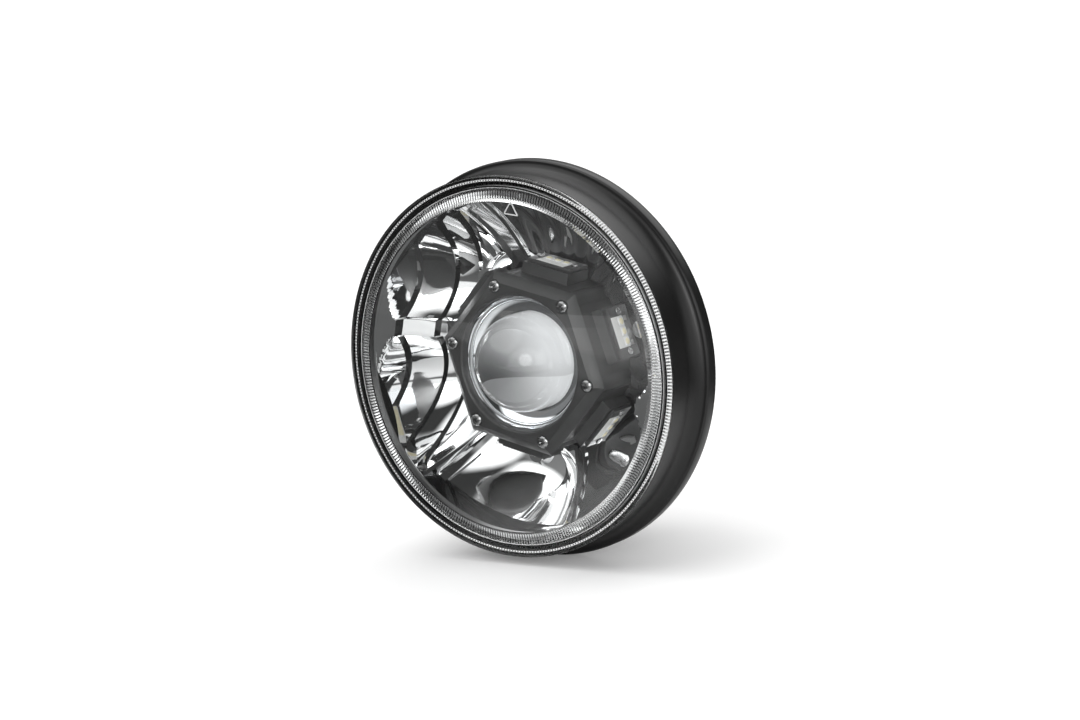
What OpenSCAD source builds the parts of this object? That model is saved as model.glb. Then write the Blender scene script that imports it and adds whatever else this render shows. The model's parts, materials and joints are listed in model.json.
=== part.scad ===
// Round seven inch motorcycle headlight: a sealed lamp with a projector in the
// middle of a hexagonal pod, six side LED boards and a stepped chrome reflector.
// The lamp looks along -Y with +Z up. The origin is the centre of the rear face
// of the mounting flange, where the lamp seats in its bucket.

/* [Front lens] */
// How far the clear front lens stands out past the barrel
lens_overhang = 1; // [0.6:0.1:1.6]
// Wall of the lens
lens_t = 2.8; // [2:0.1:3.5]
// How far the dome stands in front of the rim
lens_dome = 9.5; // [9:0.1:14]
// Width of the flat rim outside the dome
lens_rim_w = 5.7; // [4:0.1:8]
// Thickness of the tongue that enters the housing
tongue_t = 1.4; // [1:0.1:2]
// Free depth left under the tongue for sealant
tongue_gap = 0.8; // [0.5:0.1:1.5]
// Number of moulded flutes round the rim
flute_count = 120; // [60:10:120]
// Radial width of the flute band
flute_w = 5.2; // [4:0.1:5.4]
// Height of a flute
flute_h = 0.5; // [0.3:0.1:0.8]

/* [Housing] */
// How far the mounting flange stands out past the barrel
flange_w = 5.3; // [4:0.1:8]
// Thickness of the mounting flange
flange_t = 6.6; // [4:0.1:8]
// From the lens rim plane to the rear face of the flange
rim_to_seat = 30.7; // [28:0.1:36]
// Length of the flare from barrel to flange
flare_l = 8; // [4:0.5:10]
// Wall of the housing
housing_wall = 4; // [3:0.1:5]
// Wall outside the sealing groove
groove_wall = 1.5; // [1.2:0.1:2]
// Width of the sealing groove
groove_w = 3; // [2.6:0.1:3.4]
// Depth of the sealing groove
groove_depth = 7; // [5:0.1:9]
// Wall inside the sealing groove
lip_wall = 1.6; // [1.2:0.1:2.2]
// Depth of the bowl behind the flange
bowl_l = 18; // [17.5:0.1:24]
// Width of the flange's seat outside the bowl
seat_w = 10.5; // [9:0.1:12]
// How far the bowl narrows towards its rear rim
bowl_taper = 2.5; // [1:0.1:4]
// Width of the rear rim that the heat sink bolts to
rear_rim_w = 12.4; // [12:0.1:14]
// Thickness of the rear rim
rear_rim_t = 7; // [6:0.1:8]
// Number of locating lugs on the flange
lug_count = 3; // [2:1:6]
// Width of a locating lug
lug_w = 10; // [6:0.5:14]
// Height of a locating lug
lug_h = 3; // [2:0.1:4]
// From the lug's outer end to the edge of the flange
lug_inset = 2; // [1:0.1:3]

/* [Reflector] */
// Height of the moulded lip on the reflector
lip_t = 2.2; // [1.8:0.1:2.3]
// From the lens rim plane back to the reflector lip
lip_depth = 7; // [6:0.1:9]
// Radial width of the lip
lip_w = 3.3; // [2.8:0.1:4]
// From the side LEDs outwards to the edge of the facets
facet_room = 29.9; // [28.8:0.1:30.8]
// Focal length of the facets next to the pod, on both sides
focal_inner = 11.5; // [11.3:0.1:12]
// Focal length between the first and the second step
focal_1 = 9.9; // [9.6:0.1:10.4]
// Focal length between the second and the third step
focal_2 = 8.6; // [8.3:0.1:9]
// Focal length from the third step to the rim
focal_3 = 7.8; // [7.2:0.1:8]
// From the corner of the pod's hole to the first step
step_1 = 1.2; // [0.9:0.1:2]
// From the corner of the pod's hole to the second step
step_2 = 9.3; // [8:0.1:11]
// From the corner of the pod's hole to the third step
step_3 = 19.6; // [17:0.1:22]
// Focal length of the bowls above and below the pod
focal_bowl = 10.6; // [10.4:0.1:11.2]
// Focal length of those two bowls across the lamp
focal_side = 22; // [20:0.5:30]
// Wall of the reflector measured along the lamp's axis
reflector_wall = 2.6; // [2.5:0.1:3]
// Wall of the reflector at a step
step_wall = 1.5; // [1.2:0.1:1.8]
// Width of the plain rib between two facet groups
rib_w = 9; // [6:0.5:10]
// How far that rib stands forward of the facets
rib_rise = 2.4; // [1:0.1:3]
// Depth of the narrow pleats in the bowl above the pod
pleat = 1.6; // [0.6:0.1:2]
// Number of pleats
pleat_count = 6; // [3:1:6]

/* [Pod] */
// Wall of the hexagonal pod at its flats
pod_wall = 6.3; // [5.8:0.1:7]
// Angle by which the pod is turned on its axis
pod_turn = -13.4; // [-20:0.1:0]
// From the lens rim plane back to the bezel
pod_depth = 12; // [11:0.1:14]
// Thickness of the bezel
bezel_t = 4; // [3:0.1:5]
// How far the bezel's window stands inside the pod's bore
window_inset = 0.8; // [0.5:0.1:1.5]
// Width of the bezel's front face beside the window
bezel_margin = 3; // [2:0.1:4]
// From the pod's flat inwards to the bezel's screw circle
bezel_screw_inset = 1.5; // [1.3:0.1:1.9]
// How far a side block stands out of the pod's wall
block_h = 5.2; // [4:0.1:6]
// Width of a side block
block_w = 24; // [20:0.5:26]
// From the bezel's front face to the side blocks
block_gap = 11.5; // [10:0.1:12.4]
// From the bezel's front face to the middle of the side LEDs
led_gap = 21; // [20:0.1:21.4]
// From the ball lens to the pod's bore
ball_gap = 9; // [8.8:0.1:9.5]
// How far the pod's floor reaches inside its bore
pod_step = 5; // [4:0.1:6]
// From the heads of the pod's screws to the rear drum
drum_gap = 2.15; // [1.5:0.05:3]
// Thickness of the pod's floor
pod_floor = 8; // [6:0.5:9]

/* [Projector] */
// Radius of the ball lens
ball_r = 22; // [20:0.1:22.4]
// How far the ball stands in front of the lens rim plane
ball_front = 5; // [4:0.1:5.2]
// Straight part behind the ball
ball_back = 7; // [6:0.1:8]
// Width of the ball lens's clamped edge
ball_edge = 2.4; // [2:0.1:3]
// Thickness of the clamped edge
ball_edge_t = 2.6; // [2:0.1:3]
// Wall of the bright sleeve round the ball lens
sleeve_wall = 1.1; // [0.8:0.1:1.4]
// Thickness of the ring that clamps the ball lens
retainer_t = 1.6; // [1.2:0.1:2]
// Thickness of the cut-off shield
shield_t = 0.8; // [0.5:0.1:1.2]
// Step in the cut-off line
cutoff_step = 2; // [1:0.1:3]
// Wall of the projector's bowl
bowl_wall = 1.4; // [1:0.1:1.8]
// Diameter of the projector's circuit board
core_board_d = 36; // [32:0.5:40]
// Side of the projector's LED
core_led_w = 7; // [5:0.1:8]

/* [Circuit boards] */
// Thickness of the metal-core boards
board_t = 1.6; // [1:0.1:2]
// Length of a side board
side_board_l = 22.6; // [20:0.1:23.2]
// Width of a side board along the axis
side_board_w = 14.4; // [13:0.1:14.8]
// From a side board's centre to its screws
side_screw_x = 9; // [8.6:0.1:9.2]
// Side of one side LED
side_led_w = 3.6; // [3:0.1:4]
// Height of one side LED
side_led_h = 0.9; // [0.6:0.1:1.4]
// Thickness of the thermal pad
pad_t = 0.5; // [0.3:0.1:0.8]
// From the driver board's edge to the drum
driver_gap = 2.5; // [1.5:0.1:4]
// From the driver board's edge to the middle of its screws
driver_screw_inset = 5; // [4:0.1:6]
// From the heat sink's floor to the driver board
driver_standoff = 16; // [14:0.5:20]

/* [Heat sink] */
// Thickness of the heat sink's plate
plate_t = 4; // [3:0.1:5]
// Number of fins
fin_count = 36; // [24:12:36]
// Thickness of a fin
fin_t = 2.2; // [1.6:0.1:2.6]
// Length of the fins behind the plate
fin_l = 35; // [28:0.5:36]
// Wall of the rear drum
drum_wall = 6.5; // [6:0.1:8]
// Length of the drum behind the plate
drum_l = 39; // [38:0.5:46]
// From the edge of the housing's rear opening to the middle of the heat sink's screws
sink_screw_inset = 5.4; // [5:0.1:6]
// How far the heat sink's plate stays inside the housing's rear rim
sink_inset = 2.4; // [1.5:0.1:3]
// Thickness of the flat gasket under the heat sink
gasket_t = 1; // [0.8:0.1:1.5]

/* [Rear cover and inlet] */
// Thickness of the rear cover
cover_t = 4; // [3:0.1:5]
// Depth of the spigot on the rear cover
spigot_l = 5; // [4:0.1:6]
// Wall of the spigot
spigot_wall = 5.2; // [4:0.1:6]
// Width of the sealing ring's groove in the spigot
ring_t = 2; // [1.9:0.1:2.5]
// Depth of that groove
ring_sink = 1.6; // [1.2:0.1:1.6]
// Diameter of the vent plug's cap
vent_d = 12; // [10:0.5:13]
// Side of the square inlet body
inlet_w = 30; // [28:0.5:34]
// Height of the inlet body behind the cover
inlet_h = 7; // [5:0.5:9]
// Width of a contact blade
blade_w = 8; // [7:0.1:8.4]
// Thickness of a contact blade
blade_t = 0.8; // [0.6:0.1:1]
// Free length of a contact blade
blade_l = 13; // [10:0.5:15]
// Distance of a blade from the middle of the inlet
blade_pitch = 8.5; // [8:0.1:9.5]

/* [Fits] */
// Clearance round parts that slide into each other
fit = 0.3; // [0.2:0.05:0.4]
// Clearance round a screw's shank
screw_fit = 0.1; // [0.05:0.05:0.15]

/* [Hidden] */

fine = 96;
small = 32;
sides = 6;
sector = 360 / sides;
half_sector = sector / 2;

// Stations along the axis, from the lens rim to the rear
rim_y = -rim_to_seat;
lens_back_y = rim_y + lens_t;
groove_y = lens_back_y + groove_depth;
lip_y = rim_y + lip_depth;
ledge_y = lip_y + lip_t;
bezel_y = rim_y + pod_depth;
pod_y = bezel_y + bezel_t;
block_y = bezel_y + block_gap;
led_y = bezel_y + led_gap;
ball_y = rim_y - ball_front + ball_r;
sink_y = bowl_l + gasket_t;
plate_y = sink_y + plate_t;
drum_y = plate_y + drum_l;
cover_y = drum_y + cover_t;
driver_y = plate_y + driver_standoff;

// The pod's walls and side blocks, as distances from the axis
pod_bore_r = ball_r + ball_gap;
pod_rear_r = pod_bore_r - pod_step;
pod_flat = pod_bore_r + pod_wall;
window_r = pod_bore_r - window_inset;
bezel_screw_r = pod_flat - bezel_screw_inset;
pod_corner = pod_flat / cos(half_sector);
block_top = pod_flat + block_h;
led_d = block_top + board_t;
hole_flat = pod_flat + 2 * fit;

// Radii outwards from the facets: the lip, the sealing groove, the barrel, the lens and the flange
facet_r = led_d + facet_room;
lip_r = facet_r + lip_w;
inner_r = lip_r + fit;
groove_r0 = inner_r + lip_wall;
groove_r1 = groove_r0 + groove_w;
barrel_r = groove_r1 + groove_wall;
lens_r = barrel_r + lens_overhang;
flange_r = barrel_r + flange_w;
tongue_r0 = (groove_r0 + groove_r1 - tongue_t) / 2;
ledge_r = facet_r + step_wall + fit;
ledge_t = 3;
edge_round = 1.2;
dome_r = lens_r - lens_rim_w;
dome_radius = (dome_r * dome_r + lens_dome * lens_dome) / (2 * lens_dome);
dome_y = rim_y - lens_dome + dome_radius;

// Screw bosses on the pod's corners, and the screws' threads
boss_r = 5.2;
corner_cut = pod_flat + 1.9;
bezel_thread = 8;
side_thread = 6;
pod_screw_r = (pod_rear_r + pod_flat) / 2;

// Screws: head radius, head height, shank radius
m4 = [3.6, 2.6, 2];
m3 = [2.7, 1.8, 1.5];
m2 = [1.7, 1.1, 0.9];
counterbore = 1;

// The bowl, the rear drum and its cover
bowl_r = flange_r - seat_w;
bowl_rear_r = bowl_r - bowl_taper;
opening_r = bowl_rear_r - rear_rim_w;
sink_screw_r = opening_r + sink_screw_inset;
sink_r = bowl_rear_r - sink_inset;
drum_r0 = pod_screw_r + m3[0] + drum_gap;
drum_r = drum_r0 + drum_wall;
cover_screw_r = (drum_r + drum_r0) / 2;
cover_thread = 8;
spigot_r = drum_r0 - fit;
vent_inset = 7.5;
vent_r = drum_r0 - vent_inset;
vent_stem_d = 8;
vent_h = 2.4;

// Groups 0 to 5 of the reflector, and its bosses on the heat sink
hole_corner = hole_flat / cos(half_sector);
step_x = [hole_corner + step_1, hole_corner + step_2, hole_corner + step_3];
step_draft = 0.2;
rim_strip = 0.4;
focals = [focal_inner, focal_1, focal_2, focal_3];
strip_rows = [6, 2, 2, 3];
facet_columns = 12;
rise_run = 8;
rib_draft = 0.6;
pleat_group = 1;
bowl_group = 4;
reflector_boss_r = drum_r + m3[0] + 2.4;
reflector_boss_w = 7.6;
boss_floor = 1.2;
screw_end = 0.6;

// The projector inside the pod
sleeve_r = pod_bore_r - fit;
sleeve_r0 = sleeve_r - sleeve_wall;
edge_r = ball_r + ball_edge;
edge_y0 = ball_y + ball_back;
edge_y1 = edge_y0 + ball_edge_t;
seat_t = 2;
seat_r = ball_r - 1.5;
shield_y = edge_y1 + seat_t;
core_bowl_y = shield_y + shield_t;
pad_y = sink_y - pad_t;
core_board_y = pad_y - board_t;
core_led_h = 1.2;
core_bowl_r = 19.5;
core_neck_r = 6.5;
core_screw_r = core_board_d / 2 - 4;
lead_hole_d = 6;

// The driver board and what stands on it, placed as shares of its screw circle
driver_r = drum_r0 - driver_gap;
standoff_r = driver_r - driver_screw_inset;
standoff_w = 6.4;
standoff_thread = 7;
driver_back_y = driver_y + board_t;
coil_r = 4;
coil_d = 16;
coil_place = [0, -0.45];
can_d = 9;
can_l = 12;
can_places = [[0.62, 0.05], [0.42, 0.52]];
chip_size = [6, 1.6, 5];
chip_places = [[-0.69, 0.28], [-0.38, 0.28], [-0.07, 0.28]];

// The inlet
inlet_y = cover_y + gasket_t;
inlet_hole = 2 * blade_pitch + 3;
inlet_corner = 4;
inlet_base_t = 3;
inlet_screw_r = inlet_w / sqrt(2) - 3.6;
blade_root = 3;
blade_hole = 5;

// Lays what is drawn along +Z along the lamp's axis, from station y
module along(y = 0) translate([0, y, 0]) rotate([-90, 0, 0]) children();
// Turns its children by angle a about the axis and moves them out to radius r
module at(a, r = 0) rotate([0, -a, 0]) translate([r, 0, 0]) children();
module ring_of(n, r, start = 0) for (i = [0 : n - 1]) at(start + i * 360 / n, r) children();
module rod(r, y0, y1, facets = small) along(y0) cylinder(r = r, h = y1 - y0, $fn = facets);
module disc(r, y0, y1) rod(r, y0, y1, fine);
// Turns an outline of [radius, station] points about the axis
module turned(outline) rotate([-90, 0, 0]) rotate_extrude($fn = fine) polygon(outline);
module tube(r0, r1, y0, y1) turned([[r0, y0], [r1, y0], [r1, y1], [r0, y1]]);
// A box that stands on a pod wall: distances out, half width, stations
module wall_box(d0, d1, half, y0, y1) translate([d0, y0, -half]) cube([d1 - d0, y1 - y0, 2 * half]);

function arc(c, r, a0, a1, n) =
    [for (i = [0 : n]) c + r * [cos(a0 + (a1 - a0) * i / n), sin(a0 + (a1 - a0) * i / n)]];

// A cross-recessed screw: its head stands forward of y = 0 and its shank runs along +Y
module screw(size, length) {
    head = size[0];
    rise = size[1];
    shank = size[2] - screw_fit;
    slot = head * 0.22;
    crown = [for (i = [0 : 5]) [head * cos(i * 15), -rise * (0.4 + 0.6 * sin(i * 15))]];
    difference() {
        rotate([-90, 0, 0]) rotate_extrude($fn = small)
            polygon(concat([[0, length], [shank, length], [shank, 0], [head, 0]], crown, [[0, -rise]]));
        for (turn = [0, 90])
            rotate([0, turn, 0])
                translate([-head * 0.6, -rise - 1, -slot / 2]) cube([head * 1.2, 1 + rise * 0.6, slot]);
    }
}

// The same screw driven from the rear, with its head behind station y
module rear_screw(size, y, length) translate([0, y, 0]) mirror([0, 1, 0]) screw(size, length);

// The middle of the gap between two fins that lies nearest to angle a
function gap_angle(a) = (floor(a * fin_count / 360) + 0.5) * 360 / fin_count;

module front_lens() {
    band_r = groove_r0 - flute_w;
    span = asin(dome_r / dome_radius);
    inner = asin((band_r - 1) / (dome_radius - lens_t));
    color("white", 0.35) {
        turned(concat(
            arc([0, dome_y], dome_radius, -90, -90 + span, 14),
            arc([lens_r - edge_round, rim_y + edge_round], edge_round, -90, 0, 4),
            [[lens_r, lens_back_y], [tongue_r0 + tongue_t, lens_back_y],
            [tongue_r0 + tongue_t, groove_y - tongue_gap], [tongue_r0, groove_y - tongue_gap],
            [tongue_r0, lens_back_y], [band_r, lens_back_y]],
            arc([0, dome_y], dome_radius - lens_t, -90 + inner, -90, 14)));
        ring_of(flute_count, band_r)
            wall_box(0.2, flute_w, flute_h / 2, lens_back_y - 0.2, lens_back_y + flute_h);
    }
}

module lens_seal()
    color("black") turned([
        [groove_r0, lens_back_y], [tongue_r0, lens_back_y],
        [tongue_r0, groove_y - tongue_gap], [tongue_r0 + tongue_t, groove_y - tongue_gap],
        [tongue_r0 + tongue_t, lens_back_y], [groove_r1, lens_back_y],
        [groove_r1, groove_y], [groove_r0, groove_y]]);

module housing() {
    flare_w = flange_r - barrel_r - 1;
    wall_r = barrel_r - housing_wall;
    lip_top = lens_back_y + flute_h + fit;
    rim_front = bowl_l - rear_rim_t;
    color("#1d1e20") {
        difference() {
            turned(concat(
                [[groove_r1, lens_back_y], [barrel_r, lens_back_y]],
                [for (i = [0 : 8]) [barrel_r + flare_w * (1 - cos(i * 11.25)),
                    -flange_t - flare_l * (1 - sin(i * 11.25))]],
                [[flange_r - 0.8, -flange_t], [flange_r, 0.8 - flange_t], [flange_r, 0],
                [bowl_r, 0], [bowl_rear_r, bowl_l], [opening_r, bowl_l], [opening_r, rim_front],
                [bowl_rear_r - housing_wall, rim_front], [bowl_r - housing_wall, 0],
                [wall_r, -flange_t], [wall_r, ledge_y + ledge_t], [ledge_r, ledge_y + ledge_t],
                [ledge_r, ledge_y], [inner_r, ledge_y], [inner_r, lip_top],
                [groove_r0, lip_top], [groove_r0, groove_y], [groove_r1, groove_y]]));
            ring_of(sides, sink_screw_r, gap_angle(0)) rod(m4[2], rim_front - 1, bowl_l + 1);
        }
        ring_of(lug_count, bowl_r + 0.5, 90)
            wall_box(0, seat_w - lug_inset, lug_w / 2, -0.5, lug_h);
    }
}

// Each side block has its own facet group. Groups 0, 2, 3 and 5 lie beside the pod and are
// paraboloids round their block's LEDs, which get steeper at three upright steps. Groups 1 and 4,
// above and below the pod, are bowls without steps. d runs along a group's middle and s across it.
function is_bowl(group) = group == pleat_group || group == bowl_group;
function focal(group, i) = is_bowl(group) ? focal_bowl : focals[i];
function facet_y(group, i, d, s) = let (f = focal(group, i))
    led_y + f - pow(d - led_d, 2) / (4 * f) - s * s / (4 * (is_bowl(group) ? focal_side : f));
// The angle from a group's middle at radius r, for a share of its width inside two insets
function turn_at(share, inset, r) = share * (half_sector - asin(inset / r));
// Radius at which step i of a group crosses the line of that share and inset
function step_r(group, i, share, inset) =
    let (a = wall_angle(group) - pod_turn + turn_at(share, inset, step_x[i]))
    min(step_x[i] / abs(cos(a)), facet_r - (3 - i) * rim_strip);
// How much of a lift has grown at distance d from the axis
function grown(d) = min(1, max(0, (d - hole_flat) / rise_run));
// One facet line from the hole to the rim, as [radius, station, angle]. Its facets are shaped at
// share and rib_w / 2, and the line itself lies at share and inset.
function facet_line(group, share, inset, lift) = [
    for (i = [0 : 3])
        let (r0 = i == 0 ? hole_flat / cos(turn_at(share, inset, hole_corner))
                 : step_r(group, i - 1, share, inset) + step_draft,
             r1 = i == 3 ? facet_r : step_r(group, i, share, inset))
        for (j = [0 : strip_rows[i]])
            let (r = r0 + (r1 - r0) * j / strip_rows[i],
                 shaped = turn_at(share, rib_w / 2, r),
                 d = r * cos(shaped),
                 y = facet_y(group, i, d, r * sin(shaped)) - lift * grown(d))
            [r, max(y, lip_y + 0.1), wall_angle(group) + turn_at(share, inset, r)]];
// The closed section of the reflector along one line: facets, lip and rear side
function reflector_section(group, share, inset, lift) =
    let (face = facet_line(group, share, inset, lift),
         edge = [[facet_r, lip_y], [lip_r, lip_y], [lip_r, ledge_y], [facet_r + step_wall, ledge_y]])
    concat(face, [for (p = edge) [p[0], p[1], face[len(face) - 1][2]]],
        [for (i = [len(face) - 1 : -1 : 0]) face[i] + [step_wall, reflector_wall, 0]]);
// Sections of one group, as [share, inset, lift]: half a rib at both ends and facets between
function group_sections(group) =
    let (top = rib_w / 2 - rib_draft)
    concat([[-1, 0, rib_rise], [-1, top, rib_rise]],
        [for (i = [0 : facet_columns]) [2 * i / facet_columns - 1, rib_w / 2,
            group == pleat_group ? pleat * (1 - cos(360 * i * pleat_count / facet_columns)) / 2 : 0]],
        [[1, top, rib_rise]]);

module reflector_shell() {
    sections = [for (g = [0 : sides - 1]) for (s = group_sections(g))
        reflector_section(g, s[0], s[1], s[2])];
    m = len(sections);
    n = len(sections[0]);
    points = [for (s = sections) for (p = s) [p[0] * cos(p[2]), p[1], p[0] * sin(p[2])]];
    faces = [for (j = [0 : m - 1]) for (i = [0 : n - 1])
        let (k = (j + 1) % m * n, l = (i + 1) % n)
        each [[j * n + i, k + l, j * n + l], [j * n + i, k + i, k + l]]];
    polyhedron(points, faces, convexity = 8);
}

// The front end of the boss in a group lies in the middle of the reflector's wall
function boss_y(group) =
    let (a = gap_angle(wall_angle(group)),
         x = abs(reflector_boss_r * cos(a - pod_turn)),
         strip = len([for (step = step_x) if (step < x) step]),
         off = a - wall_angle(group))
    facet_y(group, strip, reflector_boss_r * cos(off), reflector_boss_r * sin(off)) + reflector_wall / 2;
// Runs for the three groups that have a boss
module at_bosses() for ($group = [0, 2, 4]) at(gap_angle(wall_angle($group)), reflector_boss_r) children();

module reflector()
    color("silver") difference() {
        union() {
            reflector_shell();
            at_bosses() rod(reflector_boss_w / 2, boss_y($group), sink_y);
        }
        at_bosses() rod(m3[2], boss_y($group) + boss_floor, sink_y + 1);
    }

module reflector_screws()
    color("silver") at_bosses()
        rear_screw(m3, plate_y, plate_t + sink_y - boss_y($group) - boss_floor - screw_end);

// The angle of pod wall k, and the angle of its corner
function wall_angle(k) = pod_turn + half_sector + k * sector;

// The pod seen from the front: a hexagon with its corners cut back to screw bosses
module pod_outline() {
    intersection() {
        circle(r = pod_corner, $fn = sides);
        circle(r = corner_cut, $fn = fine);
    }
    for (k = [0 : sides - 1])
        rotate(k * sector) translate([bezel_screw_r, 0]) circle(r = boss_r, $fn = small);
}

// The side blocks end just short of the reflector's facets
module pod() {
    floor_y = sink_y - pod_floor;
    block_end_y = min(facet_y(0, 0, hole_flat, block_w / 2),
        facet_y(bowl_group, 0, hole_flat, block_w / 2)) - fit;
    color("#4a4c4f") difference() {
        union() {
            at(pod_turn) along(pod_y) linear_extrude(sink_y - pod_y) pod_outline();
            ring_of(sides, 0, wall_angle(0))
                wall_box(pod_flat - 1, block_top, block_w / 2, block_y, block_end_y);
        }
        disc(pod_bore_r, pod_y - 1, floor_y);
        disc(pod_rear_r, floor_y - 1, sink_y + 1);
        ring_of(sides, bezel_screw_r, pod_turn) rod(m3[2], pod_y - 1, pod_y + bezel_thread);
        ring_of(3, pod_screw_r, pod_turn) rod(m3[2], floor_y + 1.5, sink_y + 1);
        for (k = [0 : sides - 1]) side_holes(k, block_top - side_thread, block_top + 1);
    }
}

// The two radial screw holes of side board k, between two distances from the axis
module side_holes(k, d0, d1)
    for (side = [-1, 1])
        at(wall_angle(k), d0) translate([0, led_y, side * side_screw_x])
            rotate([0, 90, 0]) cylinder(r = m2[2], h = d1 - d0, $fn = small);

module pod_screws()
    color("silver") ring_of(3, pod_screw_r, pod_turn)
        rear_screw(m3, plate_y, plate_t + pod_floor - 2.5);

// A hexagonal plate with its six edges bevelled forward
module bezel() {
    bevel = atan2(pod_flat - window_r - bezel_margin, bezel_t);
    color("#3c3e41") difference() {
        at(pod_turn) along(bezel_y) linear_extrude(bezel_t) circle(r = pod_corner, $fn = sides);
        ring_of(sides, pod_flat, wall_angle(0))
            translate([0, pod_y, 0]) rotate([0, 0, -bevel]) wall_box(0, bezel_t, pod_flat, -2 * bezel_t, 0);
        disc(window_r, bezel_y - 1, pod_y + 1);
        turned([[0, bezel_y - 0.5], [window_r + 1.3, bezel_y - 0.5], [window_r - 0.2, bezel_y + 1],
            [0, bezel_y + 1]]);
        ring_of(sides, bezel_screw_r, pod_turn) {
            rod(m3[2], bezel_y - 1, pod_y + 1);
            rotate([0, sector, 0]) rod(m3[0] + fit, bezel_y - 1, bezel_y + counterbore);
        }
    }
}

module bezel_screws()
    color("silver") ring_of(sides, bezel_screw_r, pod_turn)
        translate([0, bezel_y + counterbore, 0]) screw(m3, bezel_t - counterbore + bezel_thread - 1);

module projector_sleeve()
    color("silver") turned([
        [sleeve_r0, pod_y], [sleeve_r, pod_y], [sleeve_r, shield_y], [seat_r, shield_y],
        [seat_r, edge_y1], [edge_r + fit, edge_y1], [edge_r + fit, edge_y0], [sleeve_r0, edge_y0]]);

module ball_lens()
    color("aliceblue", 0.6) rotate([-90, 0, 0]) rotate_extrude($fn = fine) {
        intersection() {
            translate([0, ball_y]) circle(r = ball_r, $fn = fine);
            translate([0, ball_y - ball_r]) square(ball_r);
        }
        translate([0, ball_y]) square([ball_r, ball_back]);
        translate([0, edge_y0]) square([edge_r, ball_edge_t]);
    }

module lens_retainer()
    color("#202224") tube(ball_r + fit, sleeve_r0 - fit, edge_y0 - retainer_t, edge_y0);

module cutoff_shield()
    color("#303235") difference() {
        disc(sleeve_r, shield_y, core_bowl_y);
        difference() {
            disc(seat_r, shield_y - 1, core_bowl_y + 1);
            translate([-seat_r - 1, shield_y - 1, -seat_r - 1])
                cube([seat_r + 1, shield_t + 2, seat_r + 1]);
            translate([-1, shield_y - 1, -seat_r - 1])
                cube([seat_r + 2, shield_t + 2, seat_r + 1 - cutoff_step]);
        }
    }

module projector_bowl() {
    floor_y = sink_y - pod_floor;
    neck_y = core_board_y - 0.5;
    depth = neck_y - core_bowl_y;
    function curve(w) = [for (i = [0 : 10])
        [core_neck_r + w + (core_bowl_r - core_neck_r) * cos(i * 9), core_bowl_y + depth * sin(i * 9)]];
    outer = curve(bowl_wall);
    color("silver") turned(concat(curve(0), [for (i = [10 : -1 : 1]) outer[i]],
        [[outer[1][0], core_bowl_y + bowl_wall + 1.5], [sleeve_r - bowl_wall, core_bowl_y + bowl_wall + 1.5],
        [sleeve_r - bowl_wall, floor_y], [sleeve_r, floor_y], [sleeve_r, core_bowl_y]]));
}

module projector_board()
    color("white") difference() {
        disc(core_board_d / 2, core_board_y, pad_y);
        ring_of(2, core_screw_r, 90) rod(m2[2], core_board_y - 1, pad_y + 1);
    }

module projector_led()
    color("gold") {
        translate([-core_led_w / 2, core_board_y - core_led_h / 2, -core_led_w / 2])
            cube([core_led_w, core_led_h / 2, core_led_w]);
        along(core_board_y - core_led_h) cylinder(r1 = core_led_w * 0.3, r2 = core_led_w * 0.4,
            h = core_led_h / 2, $fn = small);
    }

module projector_screws()
    color("silver") ring_of(2, core_screw_r, 90)
        translate([0, core_board_y, 0]) screw(m2, board_t + pad_t + plate_t - 1);

module thermal_pad()
    color("lightgray") difference() {
        disc(core_board_d / 2, pad_y, sink_y);
        ring_of(2, core_screw_r, 90) rod(m2[2], pad_y - 1, sink_y + 1);
    }

module side_board(k)
    color("white") difference() {
        at(wall_angle(k))
            wall_box(block_top, led_d, side_board_l / 2, led_y - side_board_w / 2, led_y + side_board_w / 2);
        side_holes(k, block_top - 1, led_d + 1);
    }

module side_leds(k)
    color("gold") for (i = [-1 : 1])
        at(wall_angle(k), led_d) translate([0, led_y, i * side_led_w * 1.25]) {
            translate([0, -side_led_w / 2, -side_led_w / 2])
                cube([side_led_h / 2, side_led_w, side_led_w]);
            translate([side_led_h / 2, 0, 0]) rotate([0, 90, 0])
                cylinder(r1 = side_led_w * 0.42, r2 = side_led_w * 0.3, h = side_led_h / 2, $fn = small);
        }

module side_board_screws()
    color("silver") for (k = [0 : sides - 1]) for (side = [-1, 1])
        at(wall_angle(k), led_d) translate([0, led_y, side * side_screw_x])
            rotate([0, 0, 90]) screw(m2, board_t + side_thread - 0.5);

module sink_gasket()
    color("black") difference() {
        tube(opening_r, sink_r, bowl_l, sink_y);
        ring_of(sides, sink_screw_r, gap_angle(0)) rod(m4[2], bowl_l - 1, sink_y + 1);
    }

module heat_sink()
    color("#55585b") difference() {
        union() {
            disc(sink_r, sink_y, plate_y);
            tube(drum_r0, drum_r, plate_y - 0.5, drum_y);
            ring_of(fin_count, 0) fin();
            ring_of(3, standoff_r, 90) rod(standoff_w / 2, plate_y - 0.5, driver_y);
        }
        ring_of(sides, sink_screw_r, gap_angle(0)) rod(m4[2], sink_y - 1, plate_y + 1);
        at_bosses() rod(m3[2], sink_y - 1, plate_y + 1);
        ring_of(3, pod_screw_r, pod_turn) rod(m3[2], sink_y - 1, plate_y + 1);
        ring_of(2, core_screw_r, 90) rod(m2[2], sink_y - 1, plate_y - 0.5);
        ring_of(3, standoff_r, 90) rod(m3[2], driver_y - standoff_thread, driver_y + 1);
        ring_of(4, cover_screw_r, 45) rod(m3[2], drum_y - cover_thread, drum_y + 1);
        rod(lead_hole_d / 2, sink_y - 1, plate_y + 1);
    }

// A fin from the drum to the sloping outline of the heat sink
module fin()
    translate([0, 0, -fin_t / 2]) linear_extrude(fin_t)
        polygon([[drum_r - 0.5, plate_y - 0.5], [sink_r - 1, plate_y - 0.5], [sink_r - 1, plate_y + 1],
            [drum_r + 1, plate_y + fin_l], [drum_r - 0.5, plate_y + fin_l]]);

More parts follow.
